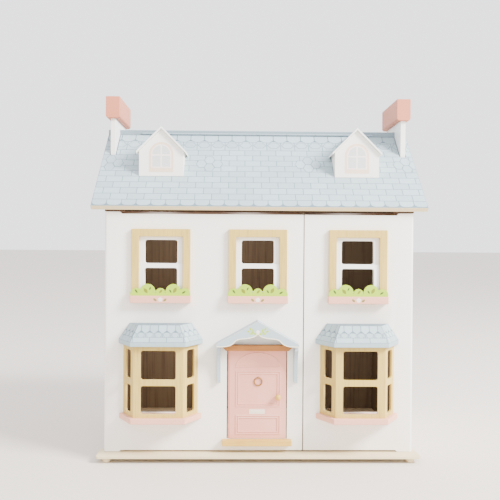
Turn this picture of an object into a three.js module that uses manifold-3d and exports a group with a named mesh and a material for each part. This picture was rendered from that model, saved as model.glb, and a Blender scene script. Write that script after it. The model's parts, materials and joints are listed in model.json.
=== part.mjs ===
// Wooden dollhouse: a two-storey carcass with an attic under a pitched roof. The front is two hinged
// panels with sash windows, bay windows and a front door, and the front roof board lifts at the ridge.
// Millimetres, +Z up, +X to the right and +Y to the back of someone facing the front door. In the
// sub-assemblies y = 0 is the outer face of the closed front panels and z = 0 the surface under the feet.

import * as THREE from 'three';
import { mergeVertices } from 'three/addons/utils/BufferGeometryUtils.js';
import { ConvexGeometry } from 'three/addons/geometries/ConvexGeometry.js';
import Module from 'manifold-3d';

const wasm = await Module();
wasm.setup();

// ---------- Driving dimensions ----------

// Boards and fits
const board = 9; // walls, front panels and roof boards
const thinBoard = 6; // floors, back, partitions
const fitGap = 0.3; // where one piece is let into or rests at a slope on another
const runningGap = 0.5; // where a moving piece passes a fixed one
const panelGap = 1; // between the closed front panels and the carcass
const around = 16; // sides of a small round pin or hole

// Carcass
const bodyWidth = 572; // over the side walls
const bodyDepth = 340; // from the front edge of the side walls to the back
const lowerStorey = 218.5; // clear height of the rooms
const upperStorey = 220;
const baseThickness = 4.5;
const apronReach = 30; // how far the base board stands out in front
const apronSpread = 10; // how far it stands out at each side
const apronDepth = 50;
const apronCorner = 5;
const footRadius = 7.5;
const footHeight = 9;
const footLowerRadius = 6;
const footShoulder = 5.4; // height at which it is widest
const footEdge = 1; // bevel round its underside
const footInset = 8; // in from the side walls
const frontFootReach = 17; // in front of the panels
const rearFootInset = 18; // in from the back
const partitionX = 82; // the rooms' dividing line, under the seam of the front
const doorwayWidth = 75;
const doorwayHeight = 165;
const doorwaySetback = 75;
const stairWidth = 60;
const stairSteps = 14;
const stairTread = 14;
const stairStartX = -140;
const stairThickness = 20;
const stairGap = 3; // from the back board and from the edge of the floor
const stairHeadroom = 9; // treads that lie under the opening in the floor
const backGap = 1.957; // between the back board and the roof board over it

// Roof
const roofEndOverhang = 24; // past the side walls
const roofPitch = THREE.MathUtils.degToRad(41);
const eaveOverhang = 22.5; // past the front and back edges of the carcass
const eaveClearance = 1.833; // under the roof board, over the front edge of the attic floor's lugs
const ridgeWidth = 22;
const ridgeHeight = 34.5;
const ridgeProud = 9.4; // above the roof boards where they meet it
const ridgeGap = 2; // hinge leaves between the ridge beam and the lifting board

// Chimneys
const stackThickness = 10;
const stackDepth = 132;
const stackRise = 14.5; // above the ridge
const stackLap = 25; // below the roof boards, on the gable
const slotGap = 1.3; // beside a stack where it passes through the roof
const slotEndGap = 2; // in front of it and behind it
const capWidth = 28;
const capDepth = 144;
const capHeight = 43;
const capLowerCorner = 5;
const capUpperCorner = 1.5;

// Ridge hinge
const hingeLength = 480;
const knuckleCount = 8;
const knuckleRadius = 2;
const knuckleBore = 1.1;
const knuckleGap = 0.5;
const hingePinRadius = 0.8;
const leafThickness = 0.7;
const hingeRise = 3.6; // the hinge line above the roof board's top corner
const hingeForward = 0.3; // and in front of it
const fixedLeafDrop = 23;
const movingLeafDrop = 14;

// Dormers
const dormerX = 189;
const dormerWidth = 85.5;
const dormerReach = 122.5; // of its face, in front of the middle of the ridge
const dormerWallHeight = 48.8; // above the roof at the dormer's face
const dormerPitch = THREE.MathUtils.degToRad(45);
const dormerSlab = 3;
const dormerSideOverhang = 5;
const dormerFrontOverhang = 5;

// Front panels
const seamX = 82;
const seamGap = 2;
const panelFootGap = 3.4; // above the base board
const panelHeadGap = 4.3; // below the attic floor
const padWidth = 28; // raised ends at the pivots
const padFootGap = 0.5;
const padHeadGap = 0.7;
const pivotPinRadius = 2;
const pivotPinDepth = 12; // into the panel
const earWidth = 36; // attic floor's lugs that hold the upper pins

// Sash windows
const windowXs = { left: -182, middle: -3.5, right: 182 };
const paneWidth = 60;
const paneHeight = 43.3;
const paneCorner = 4;
const lowerPaneRise = 73; // above the upper rooms' floor
const meetingRail = 8.3; // between the two panes
const frameMember = 14;
const frameReveal = 10; // white surround between pane and frame, at the sides
const frameHeadReveal = 6.1;
const frameProud = 7;
const sashThickness = 3;
const sashLip = 2; // held behind the frame at each side
const planterWidth = 111;
const planterHeight = 13.5;
const planterDepth = 14;
const planterRise = 65.5; // its top above the upper rooms' floor
const foliageThickness = 4;
const foliageSetback = 1.5; // behind the planter's face
const foliageBand = 5;
const foliageLobes = [
  // [offset from the middle, radius, height of its top]
  [0, 9, 14],
  [23.5, 14, 21.5],
  [44, 11, 14],
];

// Bay windows
const bayX = 182;
const bayFrontWidth = 89.5;
const bayBackWidth = 137.5;
const bayDepth = 40;
const bayFootRise = 72.5; // above the base board
const bayHeight = 129;
const bayWall = 3.5;
const bayPaneWidth = 62.8;
const bayPaneRows = [
  // [foot, head] above the bay's foot
  [7, 57.5],
  [68.8, 120.8],
];
const bayFacetPaneWidth = 24;
const baySillHeight = 10;
const baySillReach = 7.5;
const bayEaveReach = 9;
const bayCornerShare = 0.53; // of a reach, that the front corners go sideways
const bayEaveBand = 8;
const bayRoofRise = 37.5;
const bayRoofSetback = 14; // of its flat top, at the front
const bayRoofTopBack = 114.5; // width of the flat top at the wall
const bayOpeningMargin = 1.5; // panel left standing round the inside of the bay

// Front door
const doorX = -3.5;
const doorWidth = 108;
const doorFootZ = 38.6;
const doorHeight = 163.4;
const doorSideGap = 2;
const doorEndGap = 0.6;
const doorPinRadius = 1.5;
const doorPinDepth = 8; // into the panel above and below the door
const doorKnobX = 38.7;
const doorKnobZ = 116;
const doorKnobRadius = 5.5;
const doorKnobNeck = 3;
const doorKnobReach = 12;
const stepWidth = 128;
const stepHeight = 10.5;
const stepDepth = 14;
const lintelFootWidth = 116;
const lintelHeight = 10.6;
const lintelDepth = 12;

// Door canopy
const canopyRise = 57.4; // its apex above the door
const canopyWidth = 150;
const canopyPitch = THREE.MathUtils.degToRad(29.2);
const canopyDepth = 34;
const canopySlab = 4;
const gableBoard = 4;
const gableCuspDrop = 23.4; // below the apex
const gableScallops = [
  // [share of the half width, drop below the apex] of the Bezier points from the cusp to the dip
  [0.12, 34.9],
  [0.44, 29.4],
  [0.53, 35.9],
];
const gableTail = [
  // [share of the half width, rise above the end's foot] of the Bezier points from there to the end
  [0.62, 2],
  [0.72, -1],
];
const bracketThickness = 7;
const bracketX = 71;
const bracketHeight = 70;
const bracketReach = 27;
const bracketFoot = 8;
const bracketBend = 24.5; // below its head, where the sweep turns

// ---------- Worked-out places ----------

const halfBody = bodyWidth / 2;
const carcassFront = board + panelGap;
const carcassBack = carcassFront + bodyDepth;
const ridgeY = carcassFront + bodyDepth / 2;
const baseTop = footHeight + baseThickness;
const bayFootZ = baseTop + bayFootRise;
const bayHeadZ = bayFootZ + bayHeight;
const bayHalfBack = bayBackWidth / 2;
const bayHalfFront = bayFrontWidth / 2;
const bayTurn = Math.atan2(bayDepth, bayHalfBack - bayHalfFront); // of a side facet, from the wall
const bayInnerBack = bayHalfBack - bayWall / Math.sin(bayTurn);
const middleFloorZ = baseTop + lowerStorey;
const middleFloorTop = middleFloorZ + thinBoard;
const lowerPaneZ = middleFloorTop + lowerPaneRise;
const planterTopZ = middleFloorTop + planterRise;
const atticFloorZ = middleFloorTop + upperStorey;
const atticFloorTop = atticFloorZ + thinBoard;
const insideX = halfBody - board;
const backFace = carcassBack - thinBoard;

const roofWidth = bodyWidth + 2 * roofEndOverhang;
const roofHalfSpan = bodyDepth / 2 + eaveOverhang;
const slopeRise = (run) => Math.tan(roofPitch) * run;
const roofDepth = board / Math.cos(roofPitch); // of a roof board, measured plumb
const eaveTopZ = atticFloorTop + eaveClearance + roofDepth - slopeRise(roofHalfSpan - ridgeY - runningGap);
const roofTopAt = (y) => eaveTopZ + slopeRise(roofHalfSpan - Math.abs(y - ridgeY));
const roofUndersideAt = (y) => roofTopAt(y) - roofDepth;
const dormerFrontY = ridgeY - dormerReach;
const ridgeFrontY = ridgeY - ridgeWidth / 2;
const liftEndY = ridgeFrontY - ridgeGap;
const ridgeTopZ = roofTopAt(ridgeFrontY) + ridgeProud;
const stackTop = ridgeTopZ + stackRise;
const hingeY = liftEndY - hingeForward;
const hingeZ = roofTopAt(liftEndY) + hingeRise;

const pivotInset = board / 2;
const pivotX = halfBody - pivotInset;
const pivotY = board / 2;
const panelFootZ = baseTop + panelFootGap;
const panelHeadZ = atticFloorZ - panelHeadGap;
const padFootZ = baseTop + padFootGap;
const padHeadZ = atticFloorZ - padHeadGap;

const doorHeadZ = doorFootZ + doorHeight;
const doorHingeX = doorX - doorWidth / 2 + board / 2;
const bayRoofTopZ = bayHeadZ + bayRoofRise;
const canopyApexZ = doorHeadZ + canopyRise;
const lintelTopWidth = 2 * bracketX - bracketThickness - 2 * fitGap;

const frontmostY = -(bayDepth + bayEaveReach);
const rearmostY = ridgeY + roofHalfSpan;

// ---------- Finishes ----------

const paint = (color, roughness) => new THREE.MeshStandardMaterial({ color, roughness, metalness: 0 });
const metal = (color, roughness) => new THREE.MeshStandardMaterial({ color, roughness, metalness: 1 });

const finishes = {
  whitePaint: () => paint(0xf3f1ec, 0.55),
  creamPaint: () => paint(0xe9dfc9, 0.55),
  pinkPaint: () => paint(0xeccfc4, 0.5),
  salmonPaint: () => paint(0xe2b3a1, 0.5),
  roofPrint: () => paint(0xd3dbde, 0.6),
  ridgePaint: () => paint(0xaebdc6, 0.55),
  bluePaint: () => paint(0xd5dde2, 0.55),
  stainedWood: () => paint(0xdfcba2, 0.6),
  bareWood: () => paint(0xb8926a, 0.7),
  leafPaint: () => paint(0xcfd886, 0.6),
  steel: () => metal(0xb9bcc0, 0.35),
};

// ---------- Solids ----------

const polygon = (points) => new THREE.Shape(points.map(([u, v]) => new THREE.Vector2(u, v)));

function roundedRect(u0, v0, u1, v1, radius) {
  const quarter = Math.PI / 2;
  const shape = new THREE.Shape();
  shape.moveTo(u0 + radius, v0);
  shape.absarc(u1 - radius, v0 + radius, radius, -quarter, 0);
  shape.absarc(u1 - radius, v1 - radius, radius, 0, quarter);
  shape.absarc(u0 + radius, v1 - radius, radius, quarter, 2 * quarter);
  shape.absarc(u0 + radius, v0 + radius, radius, 2 * quarter, 3 * quarter);
  return shape;
}

function extruded(shape, depth, curveSegments = 5) {
  return new THREE.ExtrudeGeometry(shape, { depth, bevelEnabled: false, curveSegments });
}

// A board drawn from the front (x, z) that reaches from yFront to yBack.
function frontBoard(shape, yFront, yBack, curveSegments) {
  const basis = new THREE.Matrix4().makeBasis(
    new THREE.Vector3(1, 0, 0),
    new THREE.Vector3(0, 0, 1),
    new THREE.Vector3(0, -1, 0),
  );
  return extruded(shape, yBack - yFront, curveSegments).applyMatrix4(basis).translate(0, yBack, 0);
}

// A board drawn from the side (y, z) that reaches from xLeft to xRight.
function sideBoard(shape, xLeft, xRight, curveSegments) {
  const basis = new THREE.Matrix4().makeBasis(
    new THREE.Vector3(0, 1, 0),
    new THREE.Vector3(0, 0, 1),
    new THREE.Vector3(1, 0, 0),
  );
  return extruded(shape, xRight - xLeft, curveSegments).applyMatrix4(basis).translate(xLeft, 0, 0);
}

// A board drawn from above (x, y) that reaches from zLow to zHigh.
function flatBoard(shape, zLow, zHigh, curveSegments) {
  return extruded(shape, zHigh - zLow, curveSegments).translate(0, 0, zLow);
}

function block([x0, x1], [y0, y1], [z0, z1]) {
  const box = new THREE.BoxGeometry(Math.abs(x1 - x0), Math.abs(y1 - y0), Math.abs(z1 - z0));
  return box.translate((x0 + x1) / 2, (y0 + y1) / 2, (z0 + z1) / 2);
}

function uprightRod(x, y, zLow, zHigh, radius) {
  const rod = new THREE.CylinderGeometry(radius, radius, zHigh - zLow, around);
  return rod.rotateX(Math.PI / 2).translate(x, y, (zLow + zHigh) / 2);
}

function crosswiseRod(xLeft, xRight, y, z, radius) {
  const rod = new THREE.CylinderGeometry(radius, radius, xRight - xLeft, around);
  return rod.rotateZ(Math.PI / 2).translate((xLeft + xRight) / 2, y, z);
}

function toSolid(geometry) {
  const bare = geometry.clone();
  bare.deleteAttribute('normal');
  bare.deleteAttribute('uv');
  const welded = mergeVertices(bare, 1e-4);
  const vertProperties = new Float32Array(welded.attributes.position.array);
  const triVerts = new Uint32Array(welded.index.array);
  return new wasm.Manifold(new wasm.Mesh({ numProp: 3, vertProperties, triVerts }));
}

function toGeometry(solid) {
  const mesh = solid.getMesh();
  const geometry = new THREE.BufferGeometry();
  geometry.setAttribute('position', new THREE.BufferAttribute(new Float32Array(mesh.vertProperties), 3));
  geometry.setIndex(new THREE.BufferAttribute(new Uint32Array(mesh.triVerts), 1));
  return geometry;
}

// The stock with every cutter taken away.
function cut(stock, cutters) {
  return toGeometry(cutters.reduce((solid, cutter) => solid.subtract(toSolid(cutter)), toSolid(stock)));
}

function joined(pieces) {
  return toGeometry(pieces.map(toSolid).reduce((solid, piece) => solid.add(piece)));
}

function common(first, second) {
  return toGeometry(toSolid(first).intersect(toSolid(second)));
}

function addPiece(parent, name, geometry, material) {
  geometry.computeVertexNormals();
  const mesh = new THREE.Mesh(geometry, material);
  mesh.name = name;
  parent.add(mesh);
  return mesh;
}

function subAssembly(parent, x = 0, y = 0, z = 0) {
  const group = new THREE.Group();
  group.position.set(x, y, z);
  parent.add(group);
  return group;
}

const sides = [
  ['left', -1],
  ['right', 1],
];

// ---------- Base, walls and floors ----------

function footGeometry() {
  const outline = [
    [0, 0],
    [footLowerRadius - footEdge, 0],
    [footLowerRadius, footEdge],
    [footRadius, footShoulder],
    [footRadius, footHeight],
    [0, footHeight],
  ];
  const points = outline.map(([radius, height]) => new THREE.Vector2(radius, height));
  return new THREE.LatheGeometry(points, 20).rotateX(Math.PI / 2);
}

function baseBoardGeometry() {
  const wide = halfBody + apronSpread;
  const front = -apronReach;
  const outline = new THREE.Shape();
  outline.moveTo(-wide + apronCorner, front);
  outline.absarc(wide - apronCorner, front + apronCorner, apronCorner, -Math.PI / 2, 0);
  outline.lineTo(wide, front + apronDepth);
  outline.lineTo(halfBody, front + apronDepth);
  outline.lineTo(halfBody, carcassBack);
  outline.lineTo(-halfBody, carcassBack);
  outline.lineTo(-halfBody, front + apronDepth);
  outline.lineTo(-wide, front + apronDepth);
  outline.absarc(-wide + apronCorner, front + apronCorner, apronCorner, Math.PI, 1.5 * Math.PI);
  const pinHoles = sides.map(([, side]) =>
    uprightRod(side * pivotX, pivotY, footHeight - 1, baseTop + 1, pivotPinRadius + fitGap));
  return cut(flatBoard(outline, footHeight, baseTop), pinHoles);
}

function sideWallGeometry(side) {
  const notch = ridgeWidth / 2 + runningGap;
  const top = (y) => roofUndersideAt(y) - runningGap;
  const seat = ridgeTopZ - ridgeHeight - runningGap;
  const gable = polygon([
    [carcassFront, baseTop],
    [carcassBack, baseTop],
    [carcassBack, top(carcassBack)],
    [ridgeY + notch, top(ridgeY + notch)],
    [ridgeY + notch, seat],
    [ridgeY - notch, seat],
    [ridgeY - notch, top(ridgeY - notch)],
    [carcassFront, top(carcassFront)],
  ]);
  const edges = [side * insideX, side * halfBody].sort((a, b) => a - b);
  return sideBoard(gable, ...edges);
}

function middleFloorGeometry() {
  const stairTopX = stairStartX + stairSteps * stairTread;
  const opening = block(
    [stairTopX - stairHeadroom * stairTread, stairTopX + stairGap / 2],
    [backFace - stairWidth - 2 * stairGap, backFace + 1],
    [middleFloorZ - 1, middleFloorTop + 1],
  );
  const floor = block([-insideX, insideX], [carcassFront, backFace], [middleFloorZ, middleFloorTop]);
  return cut(floor, [opening]);
}

function atticFloorGeometry() {
  const lug = (side) =>
    block(
      [side * (halfBody - earWidth), side * halfBody],
      [-runningGap, carcassFront],
      [atticFloorZ, atticFloorTop],
    );
  const floor = block(
    [-insideX, insideX],
    [carcassFront - 1, backFace],
    [atticFloorZ, atticFloorTop],
  );
  const pinHoles = sides.map(([, side]) =>
    uprightRod(side * pivotX, pivotY, atticFloorZ - 1, atticFloorTop + 1, pivotPinRadius + fitGap));
  return cut(joined([floor, lug(-1), lug(1)]), pinHoles);
}

function partitionGeometry(zLow, zHigh) {
  const y0 = carcassFront + doorwaySetback;
  const outline = polygon([
    [carcassFront, zLow],
    [y0, zLow],
    [y0, zLow + doorwayHeight],
    [y0 + doorwayWidth, zLow + doorwayHeight],
    [y0 + doorwayWidth, zLow],
    [backFace, zLow],
    [backFace, zHigh],
    [carcassFront, zHigh],
  ]);
  return sideBoard(outline, partitionX - thinBoard / 2, partitionX + thinBoard / 2);
}

function staircaseGeometry() {
  const rise = (middleFloorTop - baseTop) / stairSteps;
  const points = [[stairStartX, baseTop]];
  for (let step = 0; step < stairSteps; step += 1) {
    const x = stairStartX + step * stairTread;
    const z = baseTop + (step + 1) * rise;
    points.push([x, z], [x + stairTread, z]);
  }
  const endX = stairStartX + stairSteps * stairTread;
  const slope = rise / stairTread;
  points.push([endX, middleFloorTop - rise - stairThickness]);
  points.push([stairStartX + (rise + stairThickness) / slope, baseTop]);
  const back = backFace - stairGap;
  return frontBoard(polygon(points), back - stairWidth, back);
}

function addCarcass(house) {
  const carcass = subAssembly(house);
  addPiece(carcass, 'base_board', baseBoardGeometry(), finishes.creamPaint());
  const footYs = { front: -frontFootReach, rear: carcassBack - rearFootInset };
  for (const [end, footY] of Object.entries(footYs)) {
    for (const [sideName, side] of sides) {
      const foot = addPiece(carcass, `foot_${end}_${sideName}`, footGeometry(), finishes.creamPaint());
      foot.position.set(side * (halfBody - footInset), footY, 0);
    }
  }
  for (const [sideName, side] of sides) {
    addPiece(carcass, `side_wall_${sideName}`, sideWallGeometry(side), finishes.whitePaint());
  }
  const backTop = roofUndersideAt(carcassBack) - backGap;
  const back = block([-insideX, insideX], [backFace, carcassBack], [baseTop, backTop]);
  addPiece(carcass, 'back_panel', back, finishes.whitePaint());
  addPiece(carcass, 'middle_floor', middleFloorGeometry(), finishes.bareWood());
  addPiece(carcass, 'attic_floor', atticFloorGeometry(), finishes.bareWood());
  const lower = partitionGeometry(baseTop, middleFloorZ);
  addPiece(carcass, 'lower_partition', lower, finishes.bareWood());
  const upper = partitionGeometry(middleFloorTop, atticFloorZ);
  addPiece(carcass, 'upper_partition', upper, finishes.bareWood());
  addPiece(carcass, 'staircase', staircaseGeometry(), finishes.bareWood());
  addPivotPins(carcass);
}

function addPivotPins(carcass) {
  const radius = pivotPinRadius;
  for (const [sideName, side] of sides) {
    const lower = uprightRod(side * pivotX, pivotY, footHeight + fitGap, padFootZ + pivotPinDepth, radius);
    addPiece(carcass, `lower_pivot_pin_${sideName}`, lower, finishes.steel());
    const upper = uprightRod(side * pivotX, pivotY, padHeadZ - pivotPinDepth, atticFloorTop, radius);
    addPiece(carcass, `upper_pivot_pin_${sideName}`, upper, finishes.steel());
  }
}

// ---------- Roof ----------

function stackSlots() {
  const inner = halfBody + fitGap - slotGap;
  const outer = halfBody + fitGap + stackThickness + slotGap;
  const reach = stackDepth / 2 + slotEndGap;
  return sides.map(([, side]) =>
    block([side * inner, side * outer], [ridgeY - reach, ridgeY + reach], [eaveTopZ, stackTop]));
}

// side is -1 for the front slope and 1 for the back; the board ends plumb at endY, next to the ridge.
function roofBoardGeometry(side, endY) {
  const eaveY = ridgeY + side * roofHalfSpan;
  const inset = board * Math.sin(roofPitch);
  const outline = polygon([
    [eaveY, eaveTopZ],
    [eaveY - side * inset, eaveTopZ - board * Math.cos(roofPitch)],
    [endY, roofUndersideAt(endY)],
    [endY, roofTopAt(endY)],
  ]);
  return cut(sideBoard(outline, -roofWidth / 2, roofWidth / 2), stackSlots());
}

function chimneyStackGeometry(side) {
  const notch = ridgeWidth / 2 + fitGap;
  const foot = (y) => roofUndersideAt(y) - stackLap;
  const front = ridgeY - stackDepth / 2;
  const rear = ridgeY + stackDepth / 2;
  const outline = polygon([
    [front, foot(front)],
    [ridgeY - notch, foot(ridgeY - notch)],
    [ridgeY - notch, ridgeTopZ + fitGap],
    [ridgeY + notch, ridgeTopZ + fitGap],
    [ridgeY + notch, foot(ridgeY + notch)],
    [rear, foot(rear)],
    [rear, stackTop],
    [front, stackTop],
  ]);
  const edges = [side * (halfBody + fitGap), side * (halfBody + fitGap + stackThickness)];
  return sideBoard(outline, ...edges.sort((a, b) => a - b));
}

function chimneyCapGeometry() {
  const half = capWidth / 2;
  const shape = new THREE.Shape();
  shape.moveTo(-half + capLowerCorner, 0);
  shape.absarc(half - capLowerCorner, capLowerCorner, capLowerCorner, -Math.PI / 2, 0);
  shape.absarc(half - capUpperCorner, capHeight - capUpperCorner, capUpperCorner, 0, Math.PI / 2);
  shape.absarc(-half + capUpperCorner, capHeight - capUpperCorner, capUpperCorner, Math.PI / 2, Math.PI);
  shape.absarc(-half + capLowerCorner, capLowerCorner, capLowerCorner, Math.PI, 1.5 * Math.PI);
  return frontBoard(shape, -capDepth / 2, capDepth / 2);
}

// Every second knuckle belongs to the leaf, starting at the given one.
function hingeLeafGeometry(firstKnuckle, plateY, plateFootZ) {
  const pitch = hingeLength / knuckleCount;
  const plateHead = hingeZ - knuckleRadius - runningGap;
  const half = hingeLength / 2;
  const pieces = [block([-half, half], plateY, [plateFootZ, plateHead])];
  for (let k = firstKnuckle; k < knuckleCount; k += 2) {
    const ends = [-half + k * pitch + knuckleGap / 2, -half + (k + 1) * pitch - knuckleGap / 2];
    pieces.push(crosswiseRod(...ends, hingeY, hingeZ, knuckleRadius));
    pieces.push(block(ends, plateY, [plateHead - 1, hingeZ - knuckleBore]));
  }
  return cut(joined(pieces), [crosswiseRod(-half - 1, half + 1, hingeY, hingeZ, knuckleBore)]);
}

function addRoof(house) {
  const fixed = subAssembly(house);
  addPiece(fixed, 'roof_rear', roofBoardGeometry(1, ridgeY + ridgeWidth / 2), finishes.roofPrint());
  const beam = block(
    [-roofWidth / 2, roofWidth / 2],
    [ridgeFrontY, ridgeY + ridgeWidth / 2],
    [ridgeTopZ - ridgeHeight, ridgeTopZ],
  );
  addPiece(fixed, 'ridge_beam', beam, finishes.ridgePaint());
  for (const [sideName, side] of sides) {
    addPiece(fixed, `chimney_stack_${sideName}`, chimneyStackGeometry(side), finishes.whitePaint());
    const cap = addPiece(fixed, `chimney_cap_${sideName}`, chimneyCapGeometry(), finishes.salmonPaint());
    cap.position.set(side * (halfBody + fitGap + stackThickness / 2), ridgeY, stackTop);
  }
  const fixedPlate = [ridgeFrontY - leafThickness, ridgeFrontY];
  const fixedLeaf = hingeLeafGeometry(0, fixedPlate, hingeZ - fixedLeafDrop);
  addPiece(fixed, 'ridge_hinge_fixed_leaf', fixedLeaf, finishes.ridgePaint());
  const half = hingeLength / 2;
  const pin = crosswiseRod(-half, half, hingeY, hingeZ, hingePinRadius);
  addPiece(fixed, 'ridge_hinge_pin', pin, finishes.steel());

  const lifting = subAssembly(house);
  addPiece(lifting, 'roof_front', roofBoardGeometry(-1, liftEndY), finishes.roofPrint());
  const movingPlate = [liftEndY, liftEndY + leafThickness];
  const movingLeaf = hingeLeafGeometry(1, movingPlate, hingeZ - movingLeafDrop);
  addPiece(lifting, 'ridge_hinge_moving_leaf', movingLeaf, finishes.ridgePaint());
  for (const [sideName, side] of sides) {
    addDormer(lifting, sideName, side * dormerX);
  }
}

// Two slabs that meet at the apex, seen from the front; apexZ is the apex of their lower faces.
function gableSlabs(halfWidth, apexZ, pitch, thickness) {
  const drop = halfWidth * Math.tan(pitch);
  const rise = thickness / Math.cos(pitch);
  return polygon([
    [0, apexZ],
    [halfWidth, apexZ - drop],
    [halfWidth, apexZ - drop + rise],
    [0, apexZ + rise],
    [-halfWidth, apexZ - drop + rise],
    [-halfWidth, apexZ - drop],
  ]);
}

function addDormer(parent, sideName, x) {
  const dormer = subAssembly(parent, x);
  const half = dormerWidth / 2;
  const eaveZ = roofTopAt(dormerFrontY) + dormerWallHeight;
  const apexZ = eaveZ + half * Math.tan(dormerPitch);
  const front = dormerFrontY - dormerFrontOverhang - 1;
  const roofBelow = sideBoard(
    polygon([
      [front, eaveTopZ - board],
      [liftEndY, eaveTopZ - board],
      [liftEndY, roofTopAt(liftEndY) + fitGap],
      [front, roofTopAt(front) + fitGap],
    ]),
    -dormerWidth,
    dormerWidth,
  );
  const wall = polygon([
    [-half, roofTopAt(dormerFrontY) - board],
    [half, roofTopAt(dormerFrontY) - board],
    [half, eaveZ],
    [0, apexZ],
    [-half, eaveZ],
  ]);
  const body = cut(frontBoard(wall, dormerFrontY, liftEndY), [roofBelow]);
  addPiece(dormer, `dormer_body_${sideName}`, body, finishes.whitePaint());
  const slabs = gableSlabs(half + dormerSideOverhang, apexZ + fitGap, dormerPitch, dormerSlab);
  const cover = cut(frontBoard(slabs, dormerFrontY - dormerFrontOverhang, liftEndY), [roofBelow]);
  addPiece(dormer, `dormer_roof_${sideName}`, cover, finishes.bluePaint());
}

// ---------- Windows ----------

const paneZs = [
  [lowerPaneZ, lowerPaneZ + paneHeight],
  [lowerPaneZ + paneHeight + meetingRail, lowerPaneZ + 2 * paneHeight + meetingRail],
];

// A rounded rectangle cut through, centred on x, from yFront to yBack.
function paneCutter(x, width, [zLow, zHigh], corner, yFront, yBack) {
  return frontBoard(roundedRect(x - width / 2, zLow, x + width / 2, zHigh, corner), yFront, yBack);
}

function windowFrameGeometry() {
  const inner = paneWidth / 2 + frameReveal;
  const outer = inner + frameMember;
  const innerTop = paneZs[1][1] + frameHeadReveal;
  const outline = polygon([
    [-outer, planterTopZ],
    [-inner, planterTopZ],
    [-inner, innerTop],
    [inner, innerTop],
    [inner, planterTopZ],
    [outer, planterTopZ],
    [outer, innerTop + frameMember],
    [-outer, innerTop + frameMember],
  ]);
  const pocket = inner + sashLip + 2 * fitGap;
  const rebate = block(
    [-pocket, pocket],
    [-sashThickness - 2 * fitGap, 1],
    [planterTopZ - 1, innerTop],
  );
  return cut(frontBoard(outline, -frameProud, 0), [rebate]);
}

function sashGeometry() {
  const half = paneWidth / 2 + frameReveal + sashLip;
  const stock = block(
    [-half, half],
    [-sashThickness - fitGap, -fitGap],
    [planterTopZ + fitGap, paneZs[0][1] + meetingRail],
  );
  return cut(stock, [paneCutter(0, paneWidth, paneZs[0], paneCorner, -sashThickness - 1, 1)]);
}

function foliageGeometry() {
  const front = -planterDepth + foliageSetback;
  const back = front + foliageThickness;
  const lobes = foliageLobes.flatMap(([offset, radius, top]) =>
    (offset ? [-offset, offset] : [0]).map((x) => {
      const disc = new THREE.Shape().absarc(x, planterTopZ + top - radius, radius, 0, 2 * Math.PI);
      return frontBoard(disc, front, back, 12);
    }));
  const reach = planterWidth / 2 - 2;
  const band = block([-reach, reach], [front, back], [planterTopZ, planterTopZ + foliageBand]);
  const [, , tallest] = foliageLobes[1];
  const above = block(
    [-planterWidth / 2, planterWidth / 2],
    [front - 1, back + 1],
    [planterTopZ, planterTopZ + tallest + 1],
  );
  return common(joined([band, ...lobes]), above);
}

function addWindow(panel, name) {
  const opening = subAssembly(panel, windowXs[name]);
  addPiece(opening, `window_frame_${name}`, windowFrameGeometry(), finishes.stainedWood());
  addPiece(opening, `sash_${name}`, sashGeometry(), finishes.whitePaint());
  const planter = block(
    [-planterWidth / 2, planterWidth / 2],
    [-planterDepth, 0],
    [planterTopZ - planterHeight, planterTopZ],
  );
  addPiece(opening, `planter_${name}`, planter, finishes.pinkPaint());
  addPiece(opening, `foliage_${name}`, foliageGeometry(), finishes.leafPaint());
}

// The four plan corners of a bay outline, from the wall on the left round to the wall on the right.
function bayPlan(reach) {
  const back = bayHalfBack + reach;
  const front = bayHalfFront + reach * bayCornerShare;
  return [
    [-back, 0],
    [-front, -bayDepth - reach],
    [front, -bayDepth - reach],
    [back, 0],
  ];
}

function bayFrameGeometry() {
  const innerFront = bayInnerBack - (bayDepth - bayWall) / Math.tan(bayTurn);
  const ring = polygon([
    ...bayPlan(0),
    [bayInnerBack, 0],
    [innerFront, -bayDepth + bayWall],
    [-innerFront, -bayDepth + bayWall],
    [-bayInnerBack, 0],
  ]);
  const cutters = [];
  for (const rises of bayPaneRows) {
    const rows = rises.map((rise) => bayFootZ + rise);
    cutters.push(paneCutter(0, bayPaneWidth, rows, paneCorner, -bayDepth - 1, -bayDepth + bayWall + 1));
    for (const [, side] of sides) {
      const facet = paneCutter(0, bayFacetPaneWidth, rows, paneCorner, -bayWall - 2, bayWall + 2);
      facet.rotateZ(side * bayTurn).translate(side * (bayHalfBack + bayHalfFront) / 2, -bayDepth / 2, 0);
      cutters.push(facet);
    }
  }
  return cut(flatBoard(ring, bayFootZ, bayHeadZ), cutters);
}

function bayRoofGeometry() {
  const corner = ([x, y], z) => new THREE.Vector3(x, y, z);
  const eave = bayPlan(bayEaveReach);
  const [[eaveBackX], [eaveFrontX, eaveFrontY]] = eave;
  const topFrontY = eaveFrontY + bayRoofSetback;
  const topBack = bayRoofTopBack / 2;
  // The flat top's ends are parallel to the eaves, which keeps the side slopes flat.
  const topFront = topBack - ((eaveFrontX - eaveBackX) * topFrontY) / eaveFrontY;
  const top = [
    [-topBack, 0],
    [-topFront, topFrontY],
    [topFront, topFrontY],
    [topBack, 0],
  ];
  return new ConvexGeometry([
    ...eave.map((point) => corner(point, bayHeadZ)),
    ...eave.map((point) => corner(point, bayHeadZ + bayEaveBand)),
    ...top.map((point) => corner(point, bayRoofTopZ)),
  ]);
}

function addBay(panel, sideName, x) {
  const bay = subAssembly(panel, x);
  addPiece(bay, `bay_frame_${sideName}`, bayFrameGeometry(), finishes.stainedWood());
  const sill = flatBoard(polygon(bayPlan(baySillReach)), bayFootZ - baySillHeight, bayFootZ);
  addPiece(bay, `bay_sill_${sideName}`, sill, finishes.pinkPaint());
  addPiece(bay, `bay_roof_${sideName}`, bayRoofGeometry(), finishes.roofPrint());
}

// ---------- Front panels ----------

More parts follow.
